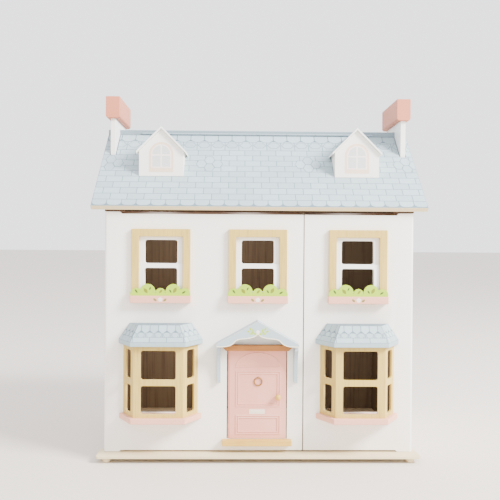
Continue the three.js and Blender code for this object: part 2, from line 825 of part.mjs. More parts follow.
// A panel from its rounded pivot edge at the side wall to the seam, with raised pads at the pivots.
function frontPanelGeometry(side, seamEdge, cutters) {
  const edge = side * halfBody;
  const pad = side * (halfBody - padWidth);
  const footSlope = pad - side * (panelFootZ - padFootZ);
  const headSlope = pad - side * (padHeadZ - panelHeadZ);
  const outline = polygon([
    [edge, padFootZ],
    [pad, padFootZ],
    [footSlope, panelFootZ],
    [seamEdge, panelFootZ],
    [seamEdge, panelHeadZ],
    [headSlope, panelHeadZ],
    [pad, padHeadZ],
    [edge, padHeadZ],
  ]);
  const plan = new THREE.Shape();
  plan.moveTo(seamEdge, board);
  plan.lineTo(seamEdge, 0);
  plan.absarc(side * pivotX, pivotY, board / 2, -Math.PI / 2, Math.PI / 2, side < 0);
  const stock = common(frontBoard(outline, 0, board), flatBoard(plan, padFootZ - 1, padHeadZ + 1, 8));
  const pinHole = (zLow, zHigh) => uprightRod(side * pivotX, pivotY, zLow, zHigh, pivotPinRadius + fitGap);
  return cut(stock, [
    pinHole(padFootZ - 1, padFootZ + pivotPinDepth + 1),
    pinHole(padHeadZ - pivotPinDepth - 1, padHeadZ + 1),
    ...cutters,
  ]);
}

const windowCutters = (name) =>
  paneZs.map((rows) => paneCutter(windowXs[name], paneWidth, rows, paneCorner, -1, board + 1));

function bayCutter(x) {
  const width = 2 * (bayInnerBack - bayOpeningMargin);
  const rows = [bayFootZ + bayOpeningMargin, bayHeadZ - bayOpeningMargin];
  return paneCutter(x, width, rows, paneCorner, -1, board + 1);
}

function doorwayCutters() {
  const half = doorWidth / 2 + doorSideGap;
  const rows = [doorFootZ - doorEndGap, doorHeadZ + doorEndGap];
  const pinEnds = [doorFootZ - doorPinDepth, doorHeadZ + doorPinDepth];
  return [
    block([doorX - half, doorX + half], [-1, board + 1], rows),
    uprightRod(doorHingeX, pivotY, ...pinEnds, doorPinRadius + fitGap),
  ];
}

function addFrontPanels(house) {
  const left = subAssembly(house);
  const leftCutters = [
    ...windowCutters('left'),
    ...windowCutters('middle'),
    bayCutter(-bayX),
    ...doorwayCutters(),
  ];
  const leftPanel = frontPanelGeometry(-1, seamX - seamGap / 2, leftCutters);
  addPiece(left, 'front_panel_left', leftPanel, finishes.whitePaint());
  addWindow(left, 'left');
  addWindow(left, 'middle');
  addBay(left, 'left', -bayX);
  addDoor(left);
  addCanopy(left);

  const right = subAssembly(house);
  const rightCutters = [...windowCutters('right'), bayCutter(bayX)];
  const rightPanel = frontPanelGeometry(1, seamX + seamGap / 2, rightCutters);
  addPiece(right, 'front_panel_right', rightPanel, finishes.whitePaint());
  addWindow(right, 'right');
  addBay(right, 'right', bayX);
}

// ---------- Front door and canopy ----------

function doorGeometry() {
  const half = doorWidth / 2;
  const hinge = -half + board / 2;
  const plan = new THREE.Shape();
  plan.moveTo(half, board);
  plan.lineTo(half, 0);
  plan.absarc(hinge, pivotY, board / 2, -Math.PI / 2, Math.PI / 2, true);
  const pinHole = uprightRod(hinge, pivotY, doorFootZ - 1, doorHeadZ + 1, doorPinRadius + fitGap);
  return cut(flatBoard(plan, doorFootZ, doorHeadZ, 8), [pinHole]);
}

function doorKnobGeometry() {
  const steps = 8;
  const centre = doorKnobReach - doorKnobRadius;
  const start = Math.asin(doorKnobNeck / doorKnobRadius);
  const points = [new THREE.Vector2(0, 0), new THREE.Vector2(doorKnobNeck, 0)];
  for (let step = 0; step < steps; step += 1) {
    const angle = Math.PI - start - (step / steps) * (Math.PI - start);
    const radius = doorKnobRadius * Math.sin(angle);
    points.push(new THREE.Vector2(radius, centre + doorKnobRadius * Math.cos(angle)));
  }
  points.push(new THREE.Vector2(0, doorKnobReach));
  return new THREE.LatheGeometry(points, 20).rotateX(Math.PI);
}

function addDoor(panel) {
  const entrance = subAssembly(panel, doorX);
  addPiece(entrance, 'front_door', doorGeometry(), finishes.pinkPaint());
  const knob = addPiece(entrance, 'door_knob', doorKnobGeometry(), finishes.stainedWood());
  knob.position.set(doorKnobX, 0, doorKnobZ);
  const pinEnds = [doorFootZ - doorPinDepth + fitGap, doorHeadZ + doorPinDepth - fitGap];
  const pin = uprightRod(doorHingeX - doorX, pivotY, ...pinEnds, doorPinRadius);
  addPiece(entrance, 'door_hinge_pin', pin, finishes.steel());
  const step = block(
    [-stepWidth / 2, stepWidth / 2],
    [-stepDepth, 0],
    [doorFootZ - doorEndGap - stepHeight, doorFootZ - doorEndGap],
  );
  addPiece(entrance, 'door_step', step, finishes.stainedWood());
  const lintelFoot = doorHeadZ + doorEndGap;
  const lintel = polygon([
    [-lintelFootWidth / 2, lintelFoot],
    [lintelFootWidth / 2, lintelFoot],
    [lintelTopWidth / 2, lintelFoot + lintelHeight],
    [-lintelTopWidth / 2, lintelFoot + lintelHeight],
  ]);
  addPiece(entrance, 'door_lintel', frontBoard(lintel, -lintelDepth, 0), finishes.stainedWood());
}

// Front board of the canopy: straight upper edges and a scalloped lower edge with a cusp in the middle.
function canopyGableGeometry() {
  const half = canopyWidth / 2;
  const endTop = canopyApexZ - half * Math.tan(canopyPitch);
  const endFoot = endTop - canopySlab / Math.cos(canopyPitch);
  const [inner, outer, dip] = gableScallops.map(([share, drop]) => [share * half, canopyApexZ - drop]);
  const [tail, toe] = gableTail.map(([share, rise]) => [share * half, endFoot + rise]);
  const mirrored = ([x, z]) => [-x, z];
  const shape = new THREE.Shape();
  shape.moveTo(0, canopyApexZ);
  shape.lineTo(-half, endTop);
  shape.lineTo(-half, endFoot);
  shape.bezierCurveTo(...mirrored(toe), ...mirrored(tail), ...mirrored(dip));
  shape.bezierCurveTo(...mirrored(outer), ...mirrored(inner), 0, canopyApexZ - gableCuspDrop);
  shape.bezierCurveTo(...inner, ...outer, ...dip);
  shape.bezierCurveTo(...tail, ...toe, half, endFoot);
  shape.lineTo(half, endTop);
  return frontBoard(shape, -canopyDepth, -canopyDepth + gableBoard, 8);
}

function bracketGeometry(head) {
  const foot = head - bracketHeight;
  const shape = new THREE.Shape();
  shape.moveTo(0, foot);
  shape.lineTo(-bracketFoot, foot);
  shape.quadraticCurveTo(-bracketFoot, head - bracketBend, -bracketReach, head - bracketFoot);
  shape.lineTo(-bracketReach, head);
  shape.lineTo(0, head);
  return sideBoard(shape, -bracketThickness / 2, bracketThickness / 2, 8);
}

function addCanopy(panel) {
  const canopy = subAssembly(panel, doorX);
  const half = canopyWidth / 2;
  const innerApex = canopyApexZ - canopySlab / Math.cos(canopyPitch);
  const slabs = gableSlabs(half, innerApex, canopyPitch, canopySlab);
  const cover = frontBoard(slabs, -canopyDepth + gableBoard, 0);
  addPiece(canopy, 'canopy_roof', cover, finishes.bluePaint());
  addPiece(canopy, 'canopy_gable', canopyGableGeometry(), finishes.bluePaint());
  const outerFace = bracketX + bracketThickness / 2;
  const head = innerApex - outerFace * Math.tan(canopyPitch) - fitGap;
  for (const [sideName, side] of sides) {
    const name = `canopy_bracket_${sideName}`;
    const bracket = addPiece(canopy, name, bracketGeometry(head), finishes.whitePaint());
    bracket.position.x = side * bracketX;
  }
}

// ---------- House ----------

const house = new THREE.Group();
house.position.y = -(frontmostY + rearmostY) / 2;
addCarcass(house);
addRoof(house);
addFrontPanels(house);

export default house;
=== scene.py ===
"""Finish of a wooden dollhouse: softened boards, printed slates, mouldings and painted detail.

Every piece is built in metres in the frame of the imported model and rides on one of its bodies.
"""

import json
import logging
import math
import random
from dataclasses import dataclass
from enum import Enum

import bmesh
import bpy
from mathutils import Matrix, Vector

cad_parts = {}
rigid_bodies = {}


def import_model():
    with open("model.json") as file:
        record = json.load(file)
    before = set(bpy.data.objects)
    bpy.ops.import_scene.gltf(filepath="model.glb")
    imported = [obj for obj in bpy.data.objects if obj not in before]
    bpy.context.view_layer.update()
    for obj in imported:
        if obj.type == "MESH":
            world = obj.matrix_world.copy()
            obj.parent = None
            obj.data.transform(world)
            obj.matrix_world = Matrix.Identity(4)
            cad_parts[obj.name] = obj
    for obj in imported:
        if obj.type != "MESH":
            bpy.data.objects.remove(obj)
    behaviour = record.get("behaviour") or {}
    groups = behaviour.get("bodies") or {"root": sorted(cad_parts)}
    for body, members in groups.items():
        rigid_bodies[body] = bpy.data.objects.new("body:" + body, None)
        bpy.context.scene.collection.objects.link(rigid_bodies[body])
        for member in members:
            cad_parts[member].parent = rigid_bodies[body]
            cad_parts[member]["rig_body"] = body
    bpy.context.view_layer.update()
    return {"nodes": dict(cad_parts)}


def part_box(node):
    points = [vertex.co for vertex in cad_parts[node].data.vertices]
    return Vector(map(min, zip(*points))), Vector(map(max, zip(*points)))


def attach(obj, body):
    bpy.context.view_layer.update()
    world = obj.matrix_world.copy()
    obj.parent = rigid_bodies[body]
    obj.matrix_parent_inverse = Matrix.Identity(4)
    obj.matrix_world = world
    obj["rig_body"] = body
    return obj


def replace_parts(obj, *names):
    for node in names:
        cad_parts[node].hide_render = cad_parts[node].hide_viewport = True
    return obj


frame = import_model()

BMesh, Tree, Socket = bmesh.types.BMesh, bpy.types.NodeTree, bpy.types.NodeSocket
LOG = logging.getLogger("dollhouse")
MM = 0.001
MERGE = 0.01 * MM  # vertices nearer than this become one
PRINT_GAP = 0.02 * MM  # how far a thin print stands off its board
SHARP_ANGLE = math.radians(32)  # an edge that turns more than this stays sharp
ARRIS_ANGLE = math.radians(35)  # an edge that turns more than this is rounded
SQUARE_ON = 0.9  # the share of a normal along an axis that the face looks along
SLOPING = 0.5  # the same share for a face that only leans that way
EDGE_ON = 0.1  # the same share for a face that looks across the axis
FLAT_ANGLE = math.radians(1)  # faces that turn less than this are one flat face
ARRIS_SEGMENTS = 3
MIDDLE_TONE = 0.5  # the tone of a patch that has none of its own
WHITE = (1, 1, 1, 1)


# ---------- Colours and nodes ----------


def linear(hex_value: str, gain: float = 1.0) -> tuple:
    """Turns an sRGB hex colour into a linear one.

    Args:
        hex_value: six hex digits, red first.
        gain: what its brightness is multiplied by.

    Returns:
        Linear red, green and blue, and an alpha of 1.
    """
    channels = [int(hex_value[i : i + 2], 16) / 255 for i in (0, 2, 4)]
    curved = [c / 12.92 if c <= 0.04045 else ((c + 0.055) / 1.055) ** 2.4 for c in channels]
    return (*[c * gain for c in curved], 1.0)


def add_node(tree: Tree, kind: str, settings: dict = None, inputs: dict = None) -> bpy.types.Node:
    """Adds one shader node.

    Args:
        tree: the node tree it goes into.
        kind: the node's type name.
        settings: attribute names and their values.
        inputs: socket names or numbers, each with a value or with an output socket to link from.

    Returns:
        The new node.
    """
    node = tree.nodes.new(kind)
    for name, value in (settings or {}).items():
        setattr(node, name, value)
    for name, value in (inputs or {}).items():
        if isinstance(value, Socket):
            tree.links.new(value, node.inputs[name])
        else:
            node.inputs[name].default_value = value
    return node


def ramp(tree: Tree, factor: Socket, stops: list) -> Socket:
    """Adds a colour ramp.

    Args:
        tree: the node tree it goes into.
        factor: the socket that drives it.
        stops: pairs of a place from 0 to 1 and a colour.

    Returns:
        The ramp's colour socket.
    """
    node = add_node(tree, "ShaderNodeValToRGB", inputs={"Fac": factor})
    elements = node.color_ramp.elements
    while len(elements) < len(stops):
        elements.new(0.5)
    for element, (place, colour) in zip(elements, stops):
        element.position = place
        element.color = colour
    return node.outputs["Color"]


def noise(tree: Tree, place: Socket, scale: float, detail: float, rough: float = 0.5) -> Socket:
    """Adds a noise texture with so many lumps to a metre, and gives its factor socket."""
    inputs = {"Vector": place, "Scale": scale, "Detail": detail, "Roughness": rough}
    return add_node(tree, "ShaderNodeTexNoise", inputs=inputs).outputs["Fac"]


def mixed(tree: Tree, factor: object, base: Socket, other: object, blend: str = "MULTIPLY") -> Socket:
    """Adds a mix of a second colour, or its socket, into a first one, and gives its colour socket."""
    settings = {"data_type": "RGBA", "blend_type": blend}
    return add_node(tree, "ShaderNodeMix", settings, {"Factor": factor, 6: base, 7: other}).outputs[2]


def rescaled(tree: Tree, value: Socket, low: float, high: float, source: tuple = (0.0, 1.0)) -> Socket:
    """Adds a change of range, from source to low and high, and gives its socket."""
    inputs = {"Value": value, "From Min": source[0], "From Max": source[1], "To Min": low, "To Max": high}
    return add_node(tree, "ShaderNodeMapRange", inputs=inputs).outputs["Result"]


def add_bump(tree: Tree, shader: bpy.types.Node, height: Socket, strength: float, depth: float) -> None:
    """Gives a shader a bump.

    Args:
        tree: the node tree it goes into.
        shader: the shader.
        height: the socket of heights.
        strength: how much of the bump shows.
        depth: its depth in millimetres.
    """
    inputs = {"Strength": strength, "Distance": depth * MM, "Height": height}
    bump = add_node(tree, "ShaderNodeBump", inputs=inputs)
    tree.links.new(bump.outputs["Normal"], shader.inputs["Normal"])


def new_material(name: str, values: dict) -> tuple:
    """Makes a material that holds a principled shader.

    Args:
        name: the material's name.
        values: inputs of the shader and what they are set to.

    Returns:
        The material, its node tree, its shader, and the socket of the piece's own coordinates.
    """
    material = bpy.data.materials.new(name)
    material.use_nodes = True
    tree = material.node_tree
    shader = tree.nodes["Principled BSDF"]
    for socket, value in values.items():
        shader.inputs[socket].default_value = value
    return material, tree, shader, add_node(tree, "ShaderNodeTexCoord").outputs["Object"]


# ---------- Finishes ----------


@dataclass(frozen=True)
class SprayedPaint:
    """Satin paint sprayed on sanded board.

    It shows a soft sheen with a faint orange peel, slow drifts in tone and a little rub on the arrises.
    """

    name: str
    colour: str
    roughness: float = 0.5
    rub: str = "e9dcc6"
    peel_mm: float = 2.2

    def build(self) -> bpy.types.Material:
        """Makes the material.

        Returns:
            The new material.
        """
        material, tree, shader, place = new_material(self.name, {"IOR": 1.46})
        # The coat's tone and sheen drift over about 140 mm.
        drift = noise(tree, place, 7.0, 3.0)
        coat = ramp(tree, drift, [(0.3, linear(self.colour, 0.965)), (0.7, linear(self.colour))])
        # Flecks of about 2 mm keep it from looking like plastic.
        grit = noise(tree, place, 420.0, 2.0, 0.6)
        fleck = ramp(tree, grit, [(0.35, (0.95, 0.95, 0.95, 1)), (0.6, WHITE)])
        # The ground coat shows where an arris is rubbed.
        edge = add_node(tree, "ShaderNodeNewGeometry").outputs["Pointiness"]
        worn = rescaled(tree, edge, 0.0, 0.35, (0.56, 0.66))
        colour = mixed(tree, worn, mixed(tree, 0.5, coat, fleck), linear(self.rub), "MIX")
        tree.links.new(colour, shader.inputs["Base Color"])
        sheen = rescaled(tree, drift, self.roughness - 0.06, self.roughness + 0.06)
        tree.links.new(sheen, shader.inputs["Roughness"])
        # The orange peel is a tenth of a millimetre deep.
        add_bump(tree, shader, noise(tree, place, 1 / (self.peel_mm * MM), 2.0), 0.12, 0.1)
        return material


@dataclass(frozen=True)
class GrainedWood:
    """Lime or birch board under stain or clear lacquer.

    Long fine streaks run up the board, with pores that catch the light, and the tone drifts slowly.
    """

    name: str
    light: str
    dark: str
    roughness: float = 0.55
    streak_mm: float = 2.4
    along: int = 2
    stretch: float = 24

    def build(self) -> bpy.types.Material:
        """Makes the material.

        Returns:
            The new material.
        """
        material, tree, shader, place = new_material(self.name, {"Roughness": self.roughness})
        # The streaks are drawn out along the board's grain.
        across = 1 / (self.streak_mm * MM)
        scale = [across, across, across]
        scale[self.along] = across / self.stretch
        stretched = add_node(tree, "ShaderNodeMapping", inputs={"Vector": place, "Scale": scale})
        streaks = noise(tree, stretched.outputs["Vector"], 1.0, 6.0, 0.62)
        stops = [(0.28, linear(self.dark)), (0.5, linear(self.light)), (0.78, linear(self.light, 1.06))]
        # The board's tone drifts over about 60 mm.
        tone = ramp(tree, noise(tree, place, 16.0, 2.0), [(0.3, (0.92, 0.92, 0.92, 1)), (0.7, WHITE)])
        tree.links.new(mixed(tree, 0.8, ramp(tree, streaks, stops), tone), shader.inputs["Base Color"])
        add_bump(tree, shader, streaks, 0.25, 0.12)
        return material


@dataclass(frozen=True)
class PrintedInk:
    """Matt ink printed on board, with the dot-to-dot unevenness of a screen print.

    Where the piece has a "shade" attribute, each printed patch has its own tone.
    """

    name: str
    colour: str
    roughness: float = 0.6
    spread: float = 0.06

    def build(self) -> bpy.types.Material:
        """Makes the material.

        Returns:
            The new material.
        """
        material, tree, shader, place = new_material(self.name, {"Roughness": self.roughness})
        # A patch is darkened more than it is lightened, as more or less ink would do.
        shade = add_node(tree, "ShaderNodeAttribute", {"attribute_name": "shade"}).outputs["Fac"]
        low, high = linear(self.colour, 1 - self.spread), linear(self.colour, 1 + self.spread * 0.6)
        patch = ramp(tree, shade, [(0.0, low), (1.0, high)])
        # The ink mottles over about 6 mm.
        mottle = noise(tree, place, 160.0, 3.0, 0.7)
        cloud = ramp(tree, mottle, [(0.35, (0.95, 0.955, 0.96, 1)), (0.65, WHITE)])
        tree.links.new(mixed(tree, 0.8, patch, cloud), shader.inputs["Base Color"])
        return material


@dataclass(frozen=True)
class PlainSteel:
    """Drawn steel rod, bright, with a fine unevenness of about a millimetre."""

    name: str
    colour: str = "b9bcc0"
    roughness: float = 0.34

    def build(self) -> bpy.types.Material:
        """Makes the material.

        Returns:
            The new material.
        """
        values = {"Metallic": 1.0, "Roughness": self.roughness}
        material, tree, shader, place = new_material(self.name, values)
        stops = [(0.3, linear(self.colour, 0.85)), (0.7, linear(self.colour))]
        base = ramp(tree, noise(tree, place, 900.0, 2.0), stops)
        tree.links.new(base, shader.inputs["Base Color"])
        return material


class Finish(Enum):
    """The finishes of the house, each with the record's slot that it belongs to."""

    # Chalk white walls, cleaner white trim, and the pane bands in the brightest white, a painted highlight.
    WALL_WHITE = (SprayedPaint("wall_white", "f6f2ea", 0.52), "white_paint")
    TRIM_WHITE = (SprayedPaint("trim_white", "f4f3ef", 0.45), "white_paint")
    RING_WHITE = (SprayedPaint("ring_highlight_white", "fbfbf9", 0.4), "white_paint")
    # A base like pale lime wood, a dusty pink door, and sills that lean towards peach.
    BASE_CREAM = (SprayedPaint("base_cream", "dccba2", 0.55), "cream_paint")
    DOOR_PINK = (SprayedPaint("door_pink", "e39f8c", 0.48), "pink_paint")
    SILL_PINK = (SprayedPaint("sill_pink", "e6ab92", 0.5), "pink_paint")
    # Fired-clay chimney caps, a slate blue ridge with pale rubbed edges, and powder blue trim.
    CHIMNEY_SALMON = (SprayedPaint("chimney_salmon", "cb7d60", 0.5), "salmon_paint")
    RIDGE_BLUE = (SprayedPaint("ridge_blue", "8496a0", 0.5, "a9b9c0"), "ridge_paint")
    TRIM_BLUE = (SprayedPaint("trim_blue", "a8b9c1", 0.5), "blue_paint")
    # Honey frames with upright grain, a step with its grain across, and a lintel in painted shade, darker
    # and redder.
    FRAME_TAN = (GrainedWood("frame_tan", "ccae58", "b69646"), "stained_wood")
    STEP_TAN = (GrainedWood("step_tan", "d2a94c", "b88c36", along=0), "stained_wood")
    LINTEL_TAN = (GrainedWood("lintel_shaded_tan", "a96c28", "8c541a", along=0), "stained_wood")
    # Brown floors with open grain, a dark brown edge under the eaves as painted shade, and dull brown room
    # walls.
    BARE_BOARD = (GrainedWood("bare_board", "8a6444", "6f4e34", 0.7, 4.0, 0), "bare_wood")
    BROWN_EDGE = (GrainedWood("eave_shade_brown", "3f2b1c", "302013", 0.75, 4.0, 0), "bare_wood")
    ROOM_LINING = (GrainedWood("room_lining", "76654f", "5f4f3f", 0.75, 5.0), "bare_wood")
    # Grey-blue joints, and pale slates that differ a little from one to the next.
    SLATE_LINE = (PrintedInk("slate_line", "6b7f89", 0.6, 0.02), "roof_print")
    SLATE = (PrintedInk("slate", "a3b6bd", 0.58, 0.09), "roof_print")
    # Spring green foliage, olive broad leaves, dark thin leaves, and brown-green buds.
    LEAF_LIGHT = (PrintedInk("leaf_light", "aacb12", 0.6), "leaf_paint")
    LEAF_OLIVE = (PrintedInk("leaf_olive", "7c8800", 0.6, 0.1), "leaf_paint")
    LEAF_DARK = (PrintedInk("leaf_dark", "3d5c10", 0.6, 0.12), "leaf_paint")
    BUD_OLIVE = (PrintedInk("bud_olive", "85783a", 0.6, 0.08), "leaf_paint")
    # A peach band round a dormer's arch, its pale grey panes, and warm white petals.
    ARCH_PEACH = (PrintedInk("arch_peach", "efd3b9", 0.55), "white_paint")
    ARCH_GLASS = (PrintedInk("arch_glass", "cdd2cf", 0.5), "white_paint")
    PETAL_WHITE = (PrintedInk("petal_white", "f4e8e2", 0.5), "white_paint")
    # The gable's cream line as a painted highlight, a cream letter plate, a brass-brown knocker, and bright
    # pins.
    EDGE_CREAM = (SprayedPaint("edge_highlight_cream", "f1e6cf", 0.5), "white_paint")
    PLATE_CREAM = (SprayedPaint("plate_cream", "ecd6c8", 0.45), "white_paint")
    KNOCKER_GOLD = (PrintedInk("knocker_gold", "8f6220", 0.4), "stained_wood")
    PIN_STEEL = (PlainSteel("pin_steel"), "steel")

    @property
    def material(self) -> bpy.types.Material:
        """The finish's material, made the first time that it is asked for."""
        return bpy.data.materials.get(self.value[0].name) or self.value[0].build()

    @property
    def slot(self) -> str:
        """The record's slot that the finish belongs to."""
        return self.value[1]


# ---------- Mesh work ----------


def linked(name: str, data: bpy.types.ID) -> bpy.types.Object:
    """Puts a new object in the scene.

    Args:
        name: its name.
        data: its mesh, lamp or camera.

    Returns:
        The new object.
    """
    made = bpy.data.objects.new(name, data)
    bpy.context.scene.collection.objects.link(made)
    return made


def finish_piece(bm: BMesh, name: str, node: str, finishes: list, soften: float = 0.0) -> bpy.types.Object:
    """Turns a bmesh into a piece of the house.

    Args:
        bm: the mesh, in place; it is freed.
        name: the piece's name.
        node: the CAD node whose body it rides on.
        finishes: the finishes of its material indices, the main one first.
        soften: the width of its rounded arrises in millimetres, or 0 for none.

    Returns:
        The new object.
    """
    bm.normal_update()
    mesh = bpy.data.meshes.new(name)
    bm.to_mesh(mesh)
    bm.free()
    for polygon in mesh.polygons:
        polygon.use_smooth = True
    mesh.set_sharp_from_angle(angle=SHARP_ANGLE)
    for finish in finishes:
        mesh.materials.append(finish.material)
    piece = linked(name, mesh)
    if soften:
        bevel = piece.modifiers.new("arris", "BEVEL")
        bevel.width = soften * MM
        bevel.segments = ARRIS_SEGMENTS
        bevel.limit_method = "ANGLE"
        bevel.angle_limit = ARRIS_ANGLE
        bevel.harden_normals = True
    body = frame["nodes"][node]["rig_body"]
    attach(piece, body)
    LOG.info("%s: %d faces on %s", name, len(mesh.polygons), body)
    return piece


def node_mesh(node: str) -> BMesh:
    """Copies a CAD node's mesh, merged, with its flat faces made whole.

    Args:
        node: the CAD node.

    Returns:
        The copy.
    """
    bm = bmesh.new()
    bm.from_mesh(frame["nodes"][node].data)
    bmesh.ops.remove_doubles(bm, verts=bm.verts, dist=MERGE)
    bmesh.ops.dissolve_limit(bm, angle_limit=FLAT_ANGLE, verts=bm.verts, edges=bm.edges)
    return bm


def refinished(node: str, finish: Finish) -> None:
    """Gives a CAD node its finish and keeps its shape.

    Args:
        node: the node's name.
        finish: its new finish.
    """
    piece = frame["nodes"][node]
    piece.data.materials.clear()
    piece.data.materials.append(finish.material)


def softened(node: str, finish: Finish, arris: float, second: tuple = ()) -> None:
    """Stands a board with rounded arrises in a CAD node's place.

    Args:
        node: the CAD node.
        finish: its finish.
        arris: the width of the rounding in millimetres.
        second: another finish and a test of a face that says where it goes.
    """
    bm = node_mesh(node)
    finishes = [finish]
    if second:
        other, test = second
        finishes.append(other)
        for face in bm.faces:
            face.material_index = int(test(face))
    piece = finish_piece(bm, f"{node}_wood", node, finishes, arris)
    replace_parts(piece, node)


def turned(profile: tuple, radius: float, height: float, steps: int) -> BMesh:
    """Turns a profile on the Z axis, as a lathe does.

    Args:
        profile: pairs of a share of the radius and a share of the height, from the foot up.
        radius: its radius in metres.
        height: its height in metres.
        steps: how many facets it has.

    Returns:
        The mesh, standing on the origin.
    """
    bm = bmesh.new()
    ring = [bm.verts.new((r * radius, 0, z * height)) for r, z in profile]
    edges = [bm.edges.new(pair) for pair in zip(ring, ring[1:])]
    swept(bm, [*ring, *edges], steps)
    return bm


def swept(bm: BMesh, geom: list, steps: int) -> None:
    """Sweeps edges once round the Z axis.

    Args:
        bm: the mesh.
        geom: the vertices and edges.
        steps: how many facets the sweep has.
    """
    turn = {"axis": (0, 0, 1), "cent": (0, 0, 0), "angle": math.tau, "steps": steps}
    bmesh.ops.spin(bm, geom=geom, use_merge=True, **turn)
    bmesh.ops.remove_doubles(bm, verts=bm.verts, dist=MERGE)
    bmesh.ops.recalc_face_normals(bm, faces=bm.faces)


def shade_layer(bm: BMesh) -> bmesh.types.BMLayerItem:
    """The layer that holds the tones of printed patches, made when it is missing."""
    return bm.faces.layers.float.get("shade") or bm.faces.layers.float.new("shade")


def add_plate(bm: BMesh, points: list, height: float, index: int = 0) -> None:
    """Adds a flat plate that lies in the plane.

    Args:
        bm: the mesh.
        points: its corners, as pairs in millimetres.
        height: its thickness along +Z in millimetres.
        index: its material index.
    """
    layer = shade_layer(bm)
    face = bm.faces.new([bm.verts.new((x * MM, y * MM, 0)) for x, y in points])
    face.material_index = index
    face[layer] = MIDDLE_TONE
    grown = bmesh.ops.extrude_face_region(bm, geom=[face], use_keep_orig=True)
    lifted = [item for item in grown["geom"] if isinstance(item, bmesh.types.BMVert)]
    bmesh.ops.translate(bm, verts=lifted, vec=(0, 0, height * MM))
    bmesh.ops.recalc_face_normals(bm, faces=bm.faces)


def oblong(left: float, right: float, low: float, high: float) -> list:
    """The four corners of an upright rectangle, with the foot first."""
    return [(left, low), (right, low), (right, high), (left, high)]


def arc_points(centre: tuple, radius: float, start: float, end: float, steps: int) -> list:
    """Points on an arc in the plane, its ends included, with the angles in degrees."""
    turns = [math.radians(start + (end - start) * step / steps) for step in range(steps + 1)]
    return [(centre[0] + radius * math.cos(turn), centre[1] + radius * math.sin(turn)) for turn in turns]


def facing_front(place: tuple) -> Matrix:
    """The matrix that stands a drawing in x and z at a place, looking towards -Y."""
    return Matrix.Translation(place) @ Matrix.Rotation(math.radians(90), 4, "X")


def stand_print(bm: BMesh, x: float, y: float, z: float) -> None:
    """Stands a thin print just off a face that looks towards -Y, with its origin at x and z."""
    bmesh.ops.recalc_face_normals(bm, faces=bm.faces)
    bm.transform(facing_front((x, y - PRINT_GAP, z)))


# ---------- Printed slates ----------


class RowKind(Enum):
    """The shapes that the printed slates have."""

    SCALLOP = "scallop"
    BRICK = "brick"
    SHIELD = "shield"
    HEXAGON = "hexagon"


@dataclass(frozen=True)
class SlateRow:
    """One row of slates: its shape, its foot and head up the slope, and the width of a slate."""

    kind: RowKind
    foot: float
    head: float
    width: float
    shift: float = 0.0


